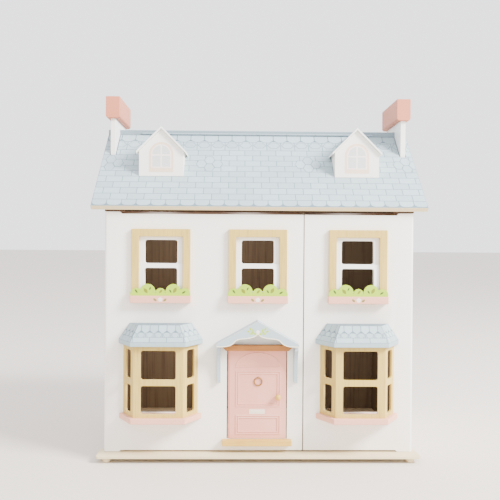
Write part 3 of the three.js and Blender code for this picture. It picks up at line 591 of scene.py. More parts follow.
@dataclass
class SlatePrint:
    """A drawing of slates on one slope, laid out in millimetres across it and up it."""

    left: float
    right: float
    rows: list
    gap: float = 1.0
    pad: float = 0.22
    tip: float = 0.4
    seed: int = 7
    clusters: tuple = ()
    cluster_height: float = 0.0
    hexagon: tuple = (10.4, 12.5)
    hexagon_share: float = 0.86
    shoulder_share: float = 0.36
    corner_share: float = 0.5
    rim_rise: float = 0.08
    cap_rise: float = 0.16
    sink: float = 0.05

    def outline(self, row: SlateRow, middle: float) -> list:
        """Lays out one slate.

        Args:
            row: the row that it is in.
            middle: where its middle is across the slope.

        Returns:
            Its corners.
        """
        half = row.width / 2 - self.gap / 2
        foot, head = row.foot + self.gap / 2, row.head - self.gap / 2
        left, right = middle - half, middle + half
        if row.kind is RowKind.BRICK:
            return oblong(left, right, foot, head)
        if row.kind is RowKind.SHIELD:
            shoulder, tip = foot + self.shoulder_share * (head - foot), self.tip * half
            lower = [(left, shoulder), (middle - tip, foot), (middle + tip, foot), (right, shoulder)]
            return [*lower, (right, head), (left, head)]
        if row.kind is RowKind.SCALLOP:
            corner = self.corner_share * (head - foot)
            rounded = arc_points((left + corner, foot + corner), corner, 180, 270, 4)
            rounded += arc_points((right - corner, foot + corner), corner, 270, 360, 4)
            return [*rounded, (right, head), (left, head)]
        return self.hexagon_round(middle, (foot + head) / 2, half * self.hexagon_share, (head - foot) / 2)

    def hexagon_round(self, x: float, level: float, reach: float, rise: float) -> list:
        """The corners of a hexagon that is 2 x reach wide and 2 x rise high."""
        shape = [(1, 0), (0.5, 1), (-0.5, 1), (-1, 0), (-0.5, -1), (0.5, -1)]
        return [(x + reach * u, level + rise * v) for u, v in shape]

    def cluster(self, x: float) -> list:
        """Lays out the four hexagons of a decorative cluster.

        Args:
            x: its middle across.

        Returns:
            The four outlines.
        """
        reach, rise = self.hexagon
        places = [(0, 1), (0, -1), (-1.5, 0), (1.5, 0)]
        trim = self.gap / 2
        return [
            self.hexagon_round(x + u * reach, self.cluster_height + v * rise, reach - trim, rise - trim)
            for u, v in places
        ]

    def mesh(self, notches: list) -> BMesh:
        """Makes the pads, lying in the plane, with millimetres made metres.

        Args:
            notches: triples of left, right and foot, where the board is cut away from the foot to its head.

        Returns:
            The mesh.
        """
        dice = random.Random(self.seed)
        bm = bmesh.new()
        drawn_over = []
        for row in self.rows:
            count = int((self.right - self.left) / row.width) + 3
            for k in range(count):
                outline = self.outline(row, self.left + (k - 0.5 + row.shift) * row.width)
                if row.kind in (RowKind.SHIELD, RowKind.HEXAGON):
                    drawn_over.append(outline)
                else:
                    self.add_pad(bm, outline, 0, self.pad, dice.random())
        for x in self.clusters:
            drawn_over += self.cluster(x)
        for outline in drawn_over:
            middle = Vector((sum(p[0] for p in outline), sum(p[1] for p in outline))) / len(outline)
            rim = [middle + (Vector(p) - middle) * (1 + self.gap / 10) for p in outline]
            self.add_pad(bm, rim, 1, self.pad + self.rim_rise, MIDDLE_TONE)
            self.add_pad(bm, outline, 0, self.pad + self.cap_rise, dice.random())
        self.clip(bm, (self.left, 0), (-1, 0), True)
        self.clip(bm, (self.right, 0), (1, 0), True)
        for left, right, foot in notches:
            self.clip(bm, (left, 0), (-1, 0), False)
            self.clip(bm, (right, 0), (1, 0), False)
            self.clip(bm, (0, foot), (0, 1), False)
            inside = []
            for face in bm.faces:
                middle = face.calc_center_median() / MM
                if left < middle.x < right and middle.y > foot:
                    inside.append(face)
            bmesh.ops.delete(bm, geom=inside, context="FACES")
        return bm

    def add_pad(self, bm: BMesh, outline: list, index: int, height: float, shade: float) -> None:
        """Adds one pad without its hidden underside.

        Args:
            bm: the mesh.
            outline: its corners in millimetres.
            index: its material index.
            height: its height in millimetres.
            shade: its tone, from 0 to 1.
        """
        layer = shade_layer(bm)
        lower = [bm.verts.new((x * MM, y * MM, -self.sink * MM)) for x, y in outline]
        upper = [bm.verts.new((x * MM, y * MM, height * MM)) for x, y in outline]
        faces = [bm.faces.new(upper)]
        for k in range(len(outline)):
            following = (k + 1) % len(outline)
            faces.append(bm.faces.new([lower[k], lower[following], upper[following], upper[k]]))
        for face in faces:
            face.material_index = index
            face[layer] = shade

    def clip(self, bm: BMesh, point: tuple, normal: tuple, clear: bool) -> None:
        """Cuts the pads along a line.

        Args:
            bm: the mesh.
            point: a point on the line in millimetres.
            normal: the direction across the line.
            clear: whether what lies past the line is taken away.
        """
        bmesh.ops.bisect_plane(
            bm,
            geom=[*bm.verts, *bm.edges, *bm.faces],
            plane_co=(point[0] * MM, point[1] * MM, 0),
            plane_no=(*normal, 0),
            clear_outer=clear,
        )


# ---------- Sub-assemblies ----------


@dataclass
class Carcass:
    """Base, feet, walls, floors, partitions, stairs and pivot pins, with their arrises in millimetres."""

    base_arris: float = 1.4
    wall_arris: float = 0.8
    board_arris: float = 0.4
    foot_profile: tuple = (
        (0.0, 0.0), (0.68, 0.0), (0.8, 0.08), (0.94, 0.35), (1.0, 0.62), (0.97, 0.9), (0.9, 1.0), (0.0, 1.0),
    )
    foot_steps: int = 40

    def build(self) -> None:
        """Dresses the carcass."""
        softened("base_board", Finish.BASE_CREAM, self.base_arris)
        for end in ("front", "rear"):
            for side in ("left", "right"):
                self.foot(f"foot_{end}_{side}")
        for side, inward in (("left", 1), ("right", -1)):
            lining = (Finish.ROOM_LINING, lambda face, inward=inward: face.normal.x * inward > SQUARE_ON)
            softened(f"side_wall_{side}", Finish.WALL_WHITE, self.wall_arris, lining)
            for level in ("lower", "upper"):
                refinished(f"{level}_pivot_pin_{side}", Finish.PIN_STEEL)
        inside = (Finish.ROOM_LINING, lambda face: face.normal.y < -SQUARE_ON)
        softened("back_panel", Finish.WALL_WHITE, self.board_arris, inside)
        for node in ("middle_floor", "staircase"):
            softened(node, Finish.BARE_BOARD, self.board_arris)
        # The attic floor's front edge is painted dark brown as the shade under the eaves.
        eave_shade = (Finish.BROWN_EDGE, lambda face: face.normal.y < -SLOPING)
        softened("attic_floor", Finish.BARE_BOARD, self.board_arris, eave_shade)
        for node in ("lower_partition", "upper_partition"):
            softened(node, Finish.ROOM_LINING, self.board_arris)

    def foot(self, node: str) -> None:
        """Turns one foot: a low bun with a rounded shoulder.

        Args:
            node: the foot's CAD node.
        """
        low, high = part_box(node)
        bm = turned(self.foot_profile, (high.x - low.x) / 2, high.z - low.z, self.foot_steps)
        bmesh.ops.translate(bm, verts=bm.verts, vec=((low.x + high.x) / 2, (low.y + high.y) / 2, low.z))
        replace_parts(finish_piece(bm, f"{node}_turned", node, [Finish.BASE_CREAM]), node)


@dataclass
class Roof:
    """Roof boards with their printed slates, the ridge and the chimneys, in degrees and millimetres."""

    pitch: float = 41.0
    board: float = 9.0
    eave_line: float = 2.2
    side_margin: float = 0.8
    head_margin: float = 0.3
    slate_gap: float = 1.2
    scallop_height: float = 17.6
    scallop_width: float = 27.0
    brick_height: float = 18.2
    brick_width: float = 31.3
    brick_rows: int = 9
    brick_lap: float = 4.0
    hexagon_height: float = 19.0
    hexagon_drop: float = 1.0
    shield_height: float = 25.0
    shield_width: float = 28.4
    cluster_spacing: float = 195.0
    cluster_height: float = 136.0
    stack_side_gap: float = 1.8
    stack_end_gap: float = 2.4

    def build(self) -> None:
        """Dresses the roof."""
        for node in ("roof_front", "roof_rear"):
            underside = (Finish.BASE_CREAM, lambda face: face.normal.z < -SLOPING)
            softened(node, Finish.SLATE_LINE, arris=0.5, second=underside)
            self.slates(node)
        softened("ridge_beam", Finish.RIDGE_BLUE, arris=0.8)
        for node in ("ridge_hinge_fixed_leaf", "ridge_hinge_moving_leaf"):
            refinished(node, Finish.RIDGE_BLUE)
        refinished("ridge_hinge_pin", Finish.PIN_STEEL)
        for side in ("left", "right"):
            softened(f"chimney_stack_{side}", Finish.TRIM_WHITE, arris=0.8)
            softened(f"chimney_cap_{side}", Finish.CHIMNEY_SALMON, arris=1.0)
            softened(f"dormer_body_{side}", Finish.WALL_WHITE, arris=0.5)
            top = (Finish.RIDGE_BLUE, lambda face: face.normal.z > SLOPING)
            softened(f"dormer_roof_{side}", Finish.TRIM_WHITE, arris=0.5, second=top)
            ArchedWindow(side).build()

    def rows(self, length: float) -> list:
        """Lays out the rows of slates.

        Args:
            length: the slope's length.

        Returns:
            The rows, in the order that they are drawn.
        """
        level = self.eave_line
        rows = [SlateRow(RowKind.SCALLOP, level, level + self.scallop_height, self.scallop_width)]
        level += self.scallop_height
        for k in range(self.brick_rows):
            head = level + self.brick_height
            rows.append(SlateRow(RowKind.BRICK, level, head, self.brick_width, 0.5 * (k % 2)))
            level += self.brick_height
        shield_foot = length - self.shield_height
        rows.append(SlateRow(RowKind.BRICK, level, shield_foot + self.brick_lap, self.shield_width, 0.5))
        head = shield_foot - self.hexagon_drop
        rows.append(SlateRow(RowKind.HEXAGON, head - self.hexagon_height, head, self.shield_width, 0.5))
        rows.append(SlateRow(RowKind.SHIELD, shield_foot, length - self.head_margin, self.shield_width))
        return rows

    def slates(self, node: str) -> None:
        """Prints the slates on one slope, with notches round the chimneys.

        Args:
            node: the roof board's CAD node.
        """
        low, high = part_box(node)
        turn = math.radians(self.pitch)
        run = (high.y - low.y) / MM
        half = (high.x - low.x) / MM / 2 - self.side_margin
        drawing = SlatePrint(
            -half,
            half,
            self.rows(run / math.cos(turn)),
            gap=self.slate_gap,
            clusters=tuple(self.cluster_spacing * k for k in (-1.5, -0.5, 0.5, 1.5)),
            cluster_height=self.cluster_height,
        )
        stack_low, stack_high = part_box("chimney_stack_right")
        slot_left = stack_low.x / MM - self.stack_side_gap
        slot_right = stack_high.x / MM + self.stack_side_gap
        reach = (stack_high.y - stack_low.y) / MM / 2 + self.stack_end_gap
        foot = (run + abs(self.ridge_offset(node)) - reach) / math.cos(turn)
        bm = drawing.mesh([(slot_left, slot_right, foot), (-slot_right, -slot_left, foot)])
        eave_y, about = (low.y, 0.0) if node == "roof_front" else (high.y, math.pi)
        eave_z = low.z + self.board * MM * math.cos(turn)
        tilt = Matrix.Rotation(about, 4, "Z") @ Matrix.Rotation(turn, 4, "X")
        bm.transform(Matrix.Translation((0, eave_y, eave_z)) @ tilt)
        finish_piece(bm, f"{node}_slates", node, [Finish.SLATE, Finish.SLATE_LINE])

    def ridge_offset(self, node: str) -> float:
        """Measures how far a roof board's upper end is from the middle of the ridge.

        Args:
            node: the roof board's CAD node.

        Returns:
            The distance, with its sign, in millimetres.
        """
        beam_low, beam_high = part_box("ridge_beam")
        middle = (beam_low.y + beam_high.y) / 2
        low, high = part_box(node)
        end = high.y if node == "roof_front" else low.y
        return (end - middle) / MM


@dataclass(frozen=True)
class ArchedWindow:
    """The arched window painted on a dormer's face, in millimetres from the dormer's foot and middle."""

    side: str
    sill: float = 8.0
    radius: float = 23.5
    spring: float = 34.3
    band: float = 4.2
    band_foot: float = 8.0
    pane_foot: float = 10.5
    pane_margin: float = 2.4
    rail_drop: float = 1.5
    bar: float = 1.7
    rises: tuple = (0.15, 0.25, 0.32)

    def arch(self, radius: float, foot: float) -> list:
        """The corners of an arch that is 2 x radius wide and stands on foot."""
        return [(-radius, foot), (radius, foot), *arc_points((0, self.spring), radius, 0, 180, 20)]

    def build(self) -> None:
        """Paints the band, the ground inside it, and two panes in each half."""
        low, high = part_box(f"dormer_body_{self.side}")
        middle, sill = (low.x + high.x) / 2 / MM, low.z / MM + self.sill
        inner = self.radius - self.band
        layers = [(self.arch(self.radius, 0), 0), (self.arch(inner, self.band_foot), 1)]
        bar, pane, rail = self.bar, inner - self.pane_margin, self.spring - self.rail_drop
        for way in (-1, 1):
            lower = oblong(way * bar, way * pane, self.pane_foot, rail - bar)
            start = math.degrees(math.acos(bar / pane))
            upper = [(way * bar, rail + bar), (way * pane, rail + bar)]
            upper += [(way * x, z) for x, z in arc_points((0, self.spring), pane, 4, start, 8)]
            layers += [(lower, 2), (upper, 2)]
        bm = bmesh.new()
        for points, index in layers:
            add_plate(bm, [(middle + x, sill + z) for x, z in points], self.rises[index], index)
        bm.transform(facing_front((0, low.y, 0)))
        finishes = [Finish.ARCH_PEACH, Finish.PETAL_WHITE, Finish.ARCH_GLASS]
        finish_piece(bm, f"dormer_window_{self.side}", f"dormer_body_{self.side}", finishes)


@dataclass(frozen=True)
class Leaf:
    """One printed leaf: its middle, length and width in millimetres, and its lean in degrees."""

    x: float
    z: float
    lean: float
    length: float
    width: float

    def draw(self, bm: BMesh, index: int, lift: float = 0.25, steps: int = 6) -> None:
        """Adds the leaf, an almond with a raised middle, to a drawing in x and z.

        Args:
            bm: the drawing.
            index: the leaf's material index.
            lift: how far its middle is raised, in millimetres.
            steps: how many parts its length has.
        """
        turn = math.radians(90 - self.lean)
        along = Vector((math.cos(turn), math.sin(turn), 0))
        side = Vector((-along.y, along.x, 0))
        middle = Vector((self.x, self.z, 0))
        spine = [middle + along * self.length * (k / steps - 0.5) for k in range(steps + 1)]
        swell = [math.sin(math.pi * k / steps) ** 0.8 * self.width / 2 for k in range(steps + 1)]
        left = [bm.verts.new((point + side * out) * MM) for point, out in zip(spine, swell)]
        right = [bm.verts.new((point - side * out) * MM) for point, out in zip(spine, swell)]
        crest = [bm.verts.new((point + Vector((0, 0, lift))) * MM) for point in spine]
        for k in range(steps):
            bm.faces.new([left[k + 1], left[k], crest[k], crest[k + 1]]).material_index = index
            bm.faces.new([crest[k + 1], crest[k], right[k], right[k + 1]]).material_index = index


def draw_flower(bm: BMesh, x: float, z: float, radius: float, index: int) -> None:
    """Adds a flower of five domed petals to a drawing in x and z.

    Args:
        bm: the drawing.
        x: its middle across in millimetres.
        z: its middle up.
        radius: its radius; a petal is half of it, and sits a little past half-way out.
        index: its material index.
    """
    petals, reach = 5, radius * 0.55
    rim_height, crown_height = 0.05 * MM, 0.4 * MM
    for k in range(petals):
        turn = math.tau * k / petals + math.pi / 2
        centre = (x + reach * math.cos(turn), z + reach * math.sin(turn))
        circle = arc_points(centre, radius * 0.5, 0, 360, 12)[:-1]
        rim = [bm.verts.new((u * MM, v * MM, rim_height)) for u, v in circle]
        crown = bm.verts.new((centre[0] * MM, centre[1] * MM, crown_height))
        for first, second in zip(rim, [*rim[1:], rim[0]]):
            bm.faces.new([first, second, crown]).material_index = index


@dataclass
class SashWindow:
    """A sash window with its frame, its planter and the leaves behind the planter's edge."""

    name: str
    thin_leaves: tuple = (
        Leaf(-18.6, 13.4, 28, 6.6, 2.8),
        Leaf(-43.9, 8.3, -35, 8.6, 3.2),
        Leaf(18.4, 8.4, -35, 7.2, 3.0),
        Leaf(42.8, 6.4, 58, 8.4, 3.2),
    )
    broad_leaves: tuple = (
        Leaf(-26.6, 9.2, -38, 11, 6.0),
        Leaf(26.7, 10.2, 30, 11.5, 6.0),
        Leaf(1.0, 8.2, 42, 9, 3.8),
    )
    buds: tuple = (Leaf(-9.4, -0.6, -50, 8.0, 4.2), Leaf(8.6, -0.9, 50, 8.0, 4.2))
    blossom_radius: float = 4.2
    pane: tuple = (60.0, 43.3)
    pane_corner: float = 4.0
    meeting_rail: float = 8.3
    ring: float = 3.4
    ring_rise: float = 0.2

    def build(self) -> None:
        """Dresses the window."""
        softened(f"window_frame_{self.name}", Finish.FRAME_TAN, arris=0.8)
        softened(f"sash_{self.name}", Finish.TRIM_WHITE, arris=0.6)
        softened(f"planter_{self.name}", Finish.SILL_PINK, arris=1.0)
        softened(f"foliage_{self.name}", Finish.LEAF_LIGHT, arris=0.5)
        self.pane_rings()
        self.leaves()
        self.blossom()

    def pane_rings(self) -> None:
        """Adds a raised band round the upper pane, on the panel, and round the lower one, on the sash, in a
        white painted brighter than the wall as a highlight.
        """
        low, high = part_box(f"sash_{self.name}")
        panel = "front_panel_right" if self.name == "right" else "front_panel_left"
        face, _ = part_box(panel)
        lower_foot = high.z - self.meeting_rail * MM - self.pane[1] * MM
        for node, foot, y in ((f"sash_{self.name}", lower_foot, low.y), (panel, high.z, face.y)):
            bm = bmesh.new()
            rims = []
            for out, up in ((0, 0), (0, self.ring_rise), (self.ring, self.ring_rise), (self.ring, 0)):
                rims.append([bm.verts.new((x * MM, z * MM, up * MM)) for x, z in self.pane_outline(out)])
            for rim, following in zip(rims, rims[1:]):
                for k in range(len(rim)):
                    after = (k + 1) % len(rim)
                    bm.faces.new([rim[k], rim[after], following[after], following[k]])
            bmesh.ops.recalc_face_normals(bm, faces=bm.faces)
            bm.transform(facing_front(((low.x + high.x) / 2, y, foot)))
            # The band's extra brightness over the wall is a painted highlight.
            finish_piece(bm, f"pane_ring_{node}_{self.name}", node, [Finish.RING_WHITE])

    def pane_outline(self, out: float) -> list:
        """Lays out a pane with its foot on zero.

        Args:
            out: how much larger than the pane the outline is, in millimetres.

        Returns:
            Its corners in millimetres.
        """
        corner = self.pane_corner
        side, head = self.pane[0] / 2 - corner, self.pane[1] - corner
        outline = []
        for x, z, start in ((side, head, 0), (-side, head, 90), (-side, corner, 180), (side, corner, 270)):
            outline += arc_points((x, z), corner + out, start, start + 90, 5)
        return outline

    def leaves(self) -> None:
        """Prints the leaf marks on the lobes."""
        low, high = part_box(f"foliage_{self.name}")
        bm = bmesh.new()
        for index, leaves in enumerate((self.thin_leaves, self.broad_leaves)):
            for leaf in leaves:
                leaf.draw(bm, index)
        stand_print(bm, (low.x + high.x) / 2, low.y, low.z)
        finishes = [Finish.LEAF_DARK, Finish.LEAF_OLIVE]
        finish_piece(bm, f"foliage_leaves_{self.name}", f"foliage_{self.name}", finishes)

    def blossom(self) -> None:
        """Prints the flower and its two buds on the planter."""
        low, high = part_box(f"planter_{self.name}")
        bm = bmesh.new()
        draw_flower(bm, 0, 0, self.blossom_radius, 0)
        for bud in self.buds:
            bud.draw(bm, 1)
        stand_print(bm, (low.x + high.x) / 2, low.y, (low.z + high.z) / 2)
        finishes = [Finish.PETAL_WHITE, Finish.BUD_OLIVE]
        finish_piece(bm, f"planter_blossom_{self.name}", f"planter_{self.name}", finishes)


@dataclass
class BayWindow:
    """A three-sided bay with its sill and its slated roof, in millimetres and shares of a slope's length."""

    side: str
    slate: float = 15.2
    brick_share: float = 0.3
    shield_share: float = 0.5
    brick_lap: float = 2.0
    hexagon_sink: float = 0.6
    hexagon_lap: float = 2.4
    gap: float = 1.1
    pad: float = 0.2
    tip: float = 0.12
    margin: float = 0.4

    def build(self) -> None:
        """Dresses the bay."""
        softened(f"bay_frame_{self.side}", Finish.FRAME_TAN, arris=0.6)
        softened(f"bay_sill_{self.side}", Finish.SILL_PINK, arris=1.0)
        band = (Finish.SLATE, lambda face: abs(face.normal.z) < EDGE_ON)
        softened(f"bay_roof_{self.side}", Finish.SLATE_LINE, arris=0.5, second=band)
        self.slates()

    def slates(self) -> None:
        """Prints the slates on the three slopes of the roof."""
        bm = node_mesh(f"bay_roof_{self.side}")
        slopes = [face for face in bm.faces if EDGE_ON < face.normal.z < SQUARE_ON]
        for number, face in enumerate(sorted(slopes, key=lambda item: item.calc_center_median().x)):
            self.slope_print(face, number)
        bm.free()

    def slope_print(self, face: bmesh.types.BMFace, number: int) -> None:
        """Prints one slope, cut to the slope's own outline.

        Args:
            face: the slope.
            number: its place from left to right, which also seeds its tones.
        """
        normal = face.normal.copy()
        across = Vector((0, 0, 1)).cross(normal).normalized()
        up = normal.cross(across)
        corners = [vert.co.copy() for vert in face.verts]
        lowest = min(corner.z for corner in corners)
        foot = [corner for corner in corners if abs(corner.z - lowest) < 0.1 * MM]
        origin = sum(foot, Vector()) / len(foot)
        flat = [((c - origin).dot(across) / MM, (c - origin).dot(up) / MM) for c in corners]
        length = max(v for _, v in flat)
        half = self.slate * (int(max(abs(u) for u, _ in flat) / self.slate) + 2)
        brick, shield = self.brick_share * length, self.shield_share * length
        hexagon_foot, hexagon_head = brick - self.hexagon_sink, shield + self.hexagon_lap
        rows = [
            SlateRow(RowKind.BRICK, 0, brick, 2 * self.slate),
            SlateRow(RowKind.BRICK, brick, shield + self.brick_lap, self.slate, 0.5),
            SlateRow(RowKind.HEXAGON, hexagon_foot, hexagon_head, self.slate, 0.5),
            SlateRow(RowKind.SHIELD, shield, length, self.slate),
        ]
        drawing = SlatePrint(-half, half, rows, gap=self.gap, pad=self.pad, tip=self.tip, seed=number)
        pads = drawing.mesh([])
        middle = Vector((sum(u for u, _ in flat), sum(v for _, v in flat))) / len(flat)
        for start, end in zip(flat, [*flat[1:], flat[0]]):
            outward = Vector((end[1] - start[1], start[0] - end[0])).normalized()
            if outward.dot(middle - Vector(start)) > 0:
                outward.negate()
            drawing.clip(pads, Vector(start) - outward * self.margin, outward, True)
        place = Matrix((across, up, normal)).transposed().to_4x4()
        place.translation = origin
        pads.transform(place)
        name = f"bay_slates_{self.side}_{number + 1}"
        finish_piece(pads, name, f"bay_roof_{self.side}", [Finish.SLATE, Finish.SLATE_LINE])


@dataclass
class FrontDoor:
    """The door with its mouldings, letter plate, knocker and knob, its step and its lintel.

    Heights are in millimetres from the door's foot; the knob's profile is in shares of its radius and reach.
    """

    bead: float = 1.9
    relief: float = 1.2
    print_shift: float = 2.0
    half: float = 40.5
    arch_foot: float = 133
    arch_rise: float = 25.5
    panels: tuple = ((60, 124.5), (8.5, 42.5))
    inset_share: float = 0.9
    inset_rise: float = 4
    plate_half: float = 14.5
    plate_span: tuple = (45.5, 54)
    plate_layers: tuple = ((0, 0, 0.5), (3, 2.4, 0.8))
    knocker_height: float = 105.5
    knocker_stand: float = 1.0
    ring: float = 7.2
    wire: float = 1.15
    stud: float = 1.7
    ring_steps: int = 40
    wire_steps: int = 10
    knob_neck: tuple = ((0.0, 0.0), (0.62, 0.0), (0.62, 0.08), (0.42, 0.16), (0.42, 0.26))
    knob_turns: tuple = (0.75, 1.1, 1.45, 1.8, 2.2, 2.6, 2.9)
    knob_steps: int = 36

    def build(self) -> None:
        """Dresses the door."""
        softened("front_door", Finish.DOOR_PINK, arris=0.7)
        softened("door_step", Finish.STEP_TAN, arris=1.0)
        # The lintel's darker, redder tan is painted shade from the canopy above it.
        softened("door_lintel", Finish.LINTEL_TAN, arris=0.7)
        refinished("door_hinge_pin", Finish.PIN_STEEL)
        self.mouldings()
        self.letter_plate()
        self.knocker()
        self.knob()

    def place(self) -> tuple:
        """The middle of the mouldings, the door's foot and its face, in millimetres."""
        low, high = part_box("front_door")
        return (low.x + high.x) / 2 / MM + self.print_shift, low.z / MM, low.y / MM

    def strip(self, bm: BMesh, points: list) -> None:
        """Adds a closed bead along an outline in the plane.

        Args:
            bm: the mesh.
            points: the outline's corners in millimetres.
        """
        half = self.bead / 2
        section = [(-half, 0.0), (-0.6 * half, self.relief), (0.6 * half, self.relief), (half, 0.0)]
        rings = []
        count = len(points)
        for k, point in enumerate(points):
            before, after = Vector(points[k - 1]), Vector(points[(k + 1) % count])
            here = Vector(point)
            first = (here - before).normalized()
            second = (after - here).normalized()
            mitre = Vector((-(first + second).y, (first + second).x)).normalized()
            stretch = 1 / max(0.5, mitre.dot(Vector((-first.y, first.x))))
            ring = [bm.verts.new((*((here + mitre * stretch * out) * MM), up * MM)) for out, up in section]
            rings.append(ring)
        for ring, following in zip(rings, [*rings[1:], rings[0]]):
            for a, b in ((0, 1), (1, 2), (2, 3), (3, 0)):
                bm.faces.new([ring[a], ring[b], following[b], following[a]])

    def mouldings(self) -> None:
        """Adds the fanlight's arch and the two panels, each with an inset bead."""
        middle, foot, face = self.place()
        half, spring = self.half, foot + self.arch_foot
        curve = arc_points((0, 0), 1, 0, 180, 24)[1:-1]
        arch = [(middle - half, spring), (middle + half, spring)]
        arch += [(middle + half * x, spring + self.arch_rise * y) for x, y in curve]
        bm = bmesh.new()
        self.strip(bm, arch)
        for low, high in self.panels:
            panel = oblong(-half, half, low, high)
            self.strip(bm, [(middle + x, foot + z) for x, z in panel])
            share, rise = self.inset_share, self.inset_rise
            inset = [(middle + x * share, foot + z + (rise if z == low else -rise)) for x, z in panel]
            self.strip(bm, inset)
        bmesh.ops.recalc_face_normals(bm, faces=bm.faces)
        bm.transform(facing_front((0, face * MM, 0)))
        finish_piece(bm, "front_door_mouldings", "front_door", [Finish.DOOR_PINK])

    def letter_plate(self) -> None:
        """Adds the painted letter plate with its flap."""
        middle, foot, face = self.place()
        middle -= self.print_shift
        left, right = middle - self.plate_half, middle + self.plate_half
        low, high = (foot + height for height in self.plate_span)
        bm = bmesh.new()
        for across, up, rise in self.plate_layers:
            add_plate(bm, oblong(left + across, right - across, low + up, high - up), rise)
        bm.transform(facing_front((0, face * MM, 0)))
        finish_piece(bm, "front_door_letter_plate", "front_door", [Finish.PLATE_CREAM], 0.25)

    def knocker(self) -> None:
        """Adds the ring knocker and the stud that it hangs on."""
        middle, foot, face = self.place()
        height = foot + self.knocker_height
        centre = Vector((middle * MM, (face - self.knocker_stand) * MM, height * MM))
        ring, wire = self.ring * MM, self.wire * MM
        bm = bmesh.new()
        section = {"radius": wire, "segments": self.wire_steps, "matrix": facing_front((ring, 0, 0))}
        made = bmesh.ops.create_circle(bm, cap_ends=False, **section)
        edges = list({edge for vert in made["verts"] for edge in vert.link_edges})
        swept(bm, [*made["verts"], *edges], self.ring_steps)
        stud = Matrix.Translation((0, ring + 0.5 * MM, 0.1 * MM))
        bmesh.ops.create_uvsphere(bm, u_segments=16, v_segments=10, radius=self.stud * MM, matrix=stud)
        bmesh.ops.recalc_face_normals(bm, faces=bm.faces)
        bm.transform(facing_front(centre))
        finish_piece(bm, "front_door_knocker", "front_door", [Finish.KNOCKER_GOLD])

    def knob(self) -> None:
        """Turns the knob: a short neck and a slightly flattened ball."""
        low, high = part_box("door_knob")
        ball = [(math.sin(turn), 0.55 - 0.45 * math.cos(turn)) for turn in self.knob_turns]
        profile = (*self.knob_neck, *ball, (0.0, 1.0))
        bm = turned(profile, (high.x - low.x) / 2, high.y - low.y, self.knob_steps)
        bm.transform(facing_front(((low.x + high.x) / 2, high.y, (low.z + high.z) / 2)))
        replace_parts(finish_piece(bm, "door_knob_turned", "front_door", [Finish.STEP_TAN]), "door_knob")


@dataclass
class Canopy:
    """The gabled canopy over the door, with its brackets and the sprigs printed at its peak."""

    sprig: tuple = (
        Leaf(5.0, -22.6, 45, 7.0, 3.4),
        Leaf(8.6, -16.6, 12, 7.2, 3.6),
        Leaf(12.0, -22.4, 82, 6.8, 3.2),
        Leaf(13.6, -13.6, 28, 6.6, 3.4),
        Leaf(17.0, -18.2, 70, 6.6, 3.2),
        Leaf(10.2, -19.8, 48, 5.6, 2.6),
    )
    flower: tuple = (0.0, -19.0)
    flower_radius: float = 3.4
    line: float = 1.6
    under: float = 0.3

    def build(self) -> None:
        """Dresses the canopy."""
        softened("canopy_roof", Finish.TRIM_BLUE, arris=0.5)
        self.gable()
        for side in ("left", "right"):
            softened(f"canopy_bracket_{side}", Finish.TRIM_BLUE, arris=0.6)
        self.print_sprigs()

    def gable(self) -> None:
        """Dresses the gable board and paints a cream line along its scalloped edge, a painted highlight
        where the rounded edge catches the light.
        """
        bm = node_mesh("canopy_gable")
        fronts = [face for face in bm.faces if face.normal.y < -SQUARE_ON]
        made = bmesh.ops.inset_region(bm, faces=fronts, thickness=self.line * MM, use_even_offset=True)
        # The cream band along the lower edge is a painted highlight.
        for face in made["faces"]:
            if any(other.normal.z < -self.under for edge in face.edges for other in edge.link_faces):
                face.material_index = 1
        finishes = [Finish.TRIM_BLUE, Finish.EDGE_CREAM]
        piece = finish_piece(bm, "canopy_gable_painted", "canopy_gable", finishes)
        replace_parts(piece, "canopy_gable")

    def print_sprigs(self) -> None:
        """Prints the two sprigs, one the other's mirror image, and the flower between them."""
        low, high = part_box("canopy_gable")
        bm = bmesh.new()
        for leaf in self.sprig:
            leaf.draw(bm, 0)
            Leaf(-leaf.x, leaf.z, -leaf.lean, leaf.length, leaf.width).draw(bm, 0)
        draw_flower(bm, *self.flower, self.flower_radius, 1)
        stand_print(bm, (low.x + high.x) / 2, low.y, high.z)
        finish_piece(bm, "canopy_sprig", "canopy_gable", [Finish.LEAF_LIGHT, Finish.PETAL_WHITE])


@dataclass
class FrontPanels:
    """The two hinged panels of the front."""

    arris: float = 0.8

    def build(self) -> None:
        """Dresses both panels; the edges of their bay openings are stained like the rooms."""
        low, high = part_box("bay_frame_left")
        tall = (low.z, high.z)
        for side in ("left", "right"):
            lining = (Finish.ROOM_LINING, lambda face: self.in_bay(face, tall))
            softened(f"front_panel_{side}", Finish.WALL_WHITE, self.arris, lining)

    def in_bay(self, face: bmesh.types.BMFace, tall: tuple) -> bool:
        """Whether a face is an edge of a bay opening, which is inside the bay's own height."""
        inside = all(tall[0] < vert.co.z < tall[1] for vert in face.verts)
        return inside and abs(face.normal.y) < EDGE_ON


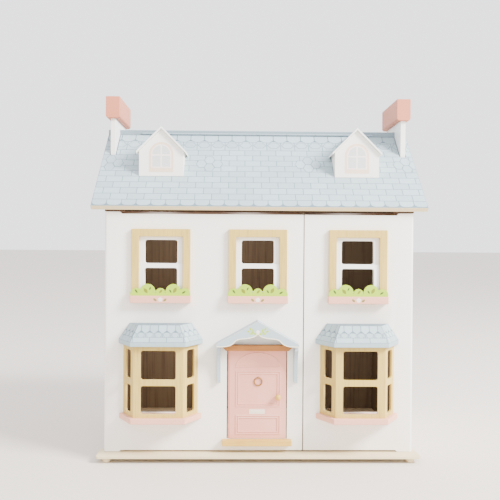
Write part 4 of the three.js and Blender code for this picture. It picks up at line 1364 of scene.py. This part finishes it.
@dataclass
class Studio:
    """A pale floor, soft light and the camera, in metres, watts and degrees."""

    floor_size: float = 30
    eye: tuple = (-0.0427, -1.4569, 0.4025)
    focal_px: float = 700.2
    image_px: float = 500.0
    turn: float = -1.089
    tip: float = -0.638
    roll: float = 0.363
    sky: str = "f0f0f4"
    sky_strength: float = 2.8
    key_place: tuple = (2.7, -1.7, 2.5)
    key_size: float = 1.1
    key_power: float = 560
    key_colour: tuple = (1.0, 0.985, 0.96)
    key_aim: tuple = (0, 0, 0.33)
    room_lamps: tuple = ((-0.2, 0.5), (-0.02, 0.5), (0.18, 0.4))
    room_lamp_radius: float = 0.03
    room_lamp_share: float = 0.8
    room_colour: tuple = (1.0, 0.94, 0.88)

    def build(self) -> None:
        """Builds the set round the house."""
        self.floor()
        self.camera()
        self.world()
        self.key_light()
        self.room_light()

    def floor(self) -> None:
        """Lays a floor of warm grey paper."""
        bm = bmesh.new()
        bmesh.ops.create_grid(bm, x_segments=1, y_segments=1, size=self.floor_size)
        mesh = bpy.data.meshes.new("studio_floor")
        bm.to_mesh(mesh)
        bm.free()
        mesh.materials.append(PrintedInk("floor_paper", "e0d6cb", 0.7).build())
        piece = linked("studio_floor", mesh)

    def camera(self) -> None:
        """Sets up the camera."""
        data = bpy.data.cameras.new("camera")
        data.sensor_width = 36.0
        data.lens = self.focal_px / self.image_px * data.sensor_width
        data.clip_end = 100
        lens = linked("camera", data)
        about = Matrix.Rotation(math.radians(self.turn), 4, "Z")
        level = Matrix.Rotation(math.radians(90 + self.tip), 4, "X")
        rolled = Matrix.Rotation(math.radians(self.roll), 4, "Z")
        lens.matrix_world = Matrix.Translation(self.eye) @ about @ level @ rolled
        bpy.context.scene.camera = lens

    def world(self) -> None:
        """Sets the even light from all round."""
        world = bpy.data.worlds.new("studio")
        world.use_nodes = True
        background = world.node_tree.nodes["Background"]
        background.inputs["Color"].default_value = linear(self.sky)
        background.inputs["Strength"].default_value = self.sky_strength
        bpy.context.scene.world = world

    def key_light(self) -> None:
        """Hangs the key light, a soft lamp aimed at the middle of the house."""
        data = bpy.data.lights.new("key", "AREA")
        data.size = self.key_size
        data.energy = self.key_power
        data.color = self.key_colour
        lamp = linked("key", data)
        lamp.location = self.key_place
        aim = Vector(self.key_aim) - Vector(self.key_place)
        lamp.rotation_euler = aim.to_track_quat("-Z", "Y").to_euler()

    def room_light(self) -> None:
        """Hangs three dim lamps on each storey, so that the rooms don't read as black holes."""
        for level in ("lower", "upper"):
            low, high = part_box(f"{level}_partition")
            height = low.z + self.room_lamp_share * (high.z - low.z)
            for x, power in self.room_lamps:
                data = bpy.data.lights.new(f"{level}_room", "POINT")
                data.shadow_soft_size = self.room_lamp_radius
                data.energy = power
                data.color = self.room_colour
                linked(f"{level}_room", data).location = (x, 0.0, height)


def main() -> None:
    """Builds the house's finish and the studio."""
    logging.basicConfig(level=logging.INFO, format="%(name)s %(message)s")
    Studio().build()
    Carcass().build()
    Roof().build()
    FrontPanels().build()
    for name in ("left", "middle", "right"):
        SashWindow(name).build()
    for side in ("left", "right"):
        BayWindow(side).build()
    FrontDoor().build()
    Canopy().build()


if __name__ == "__main__":
    main()
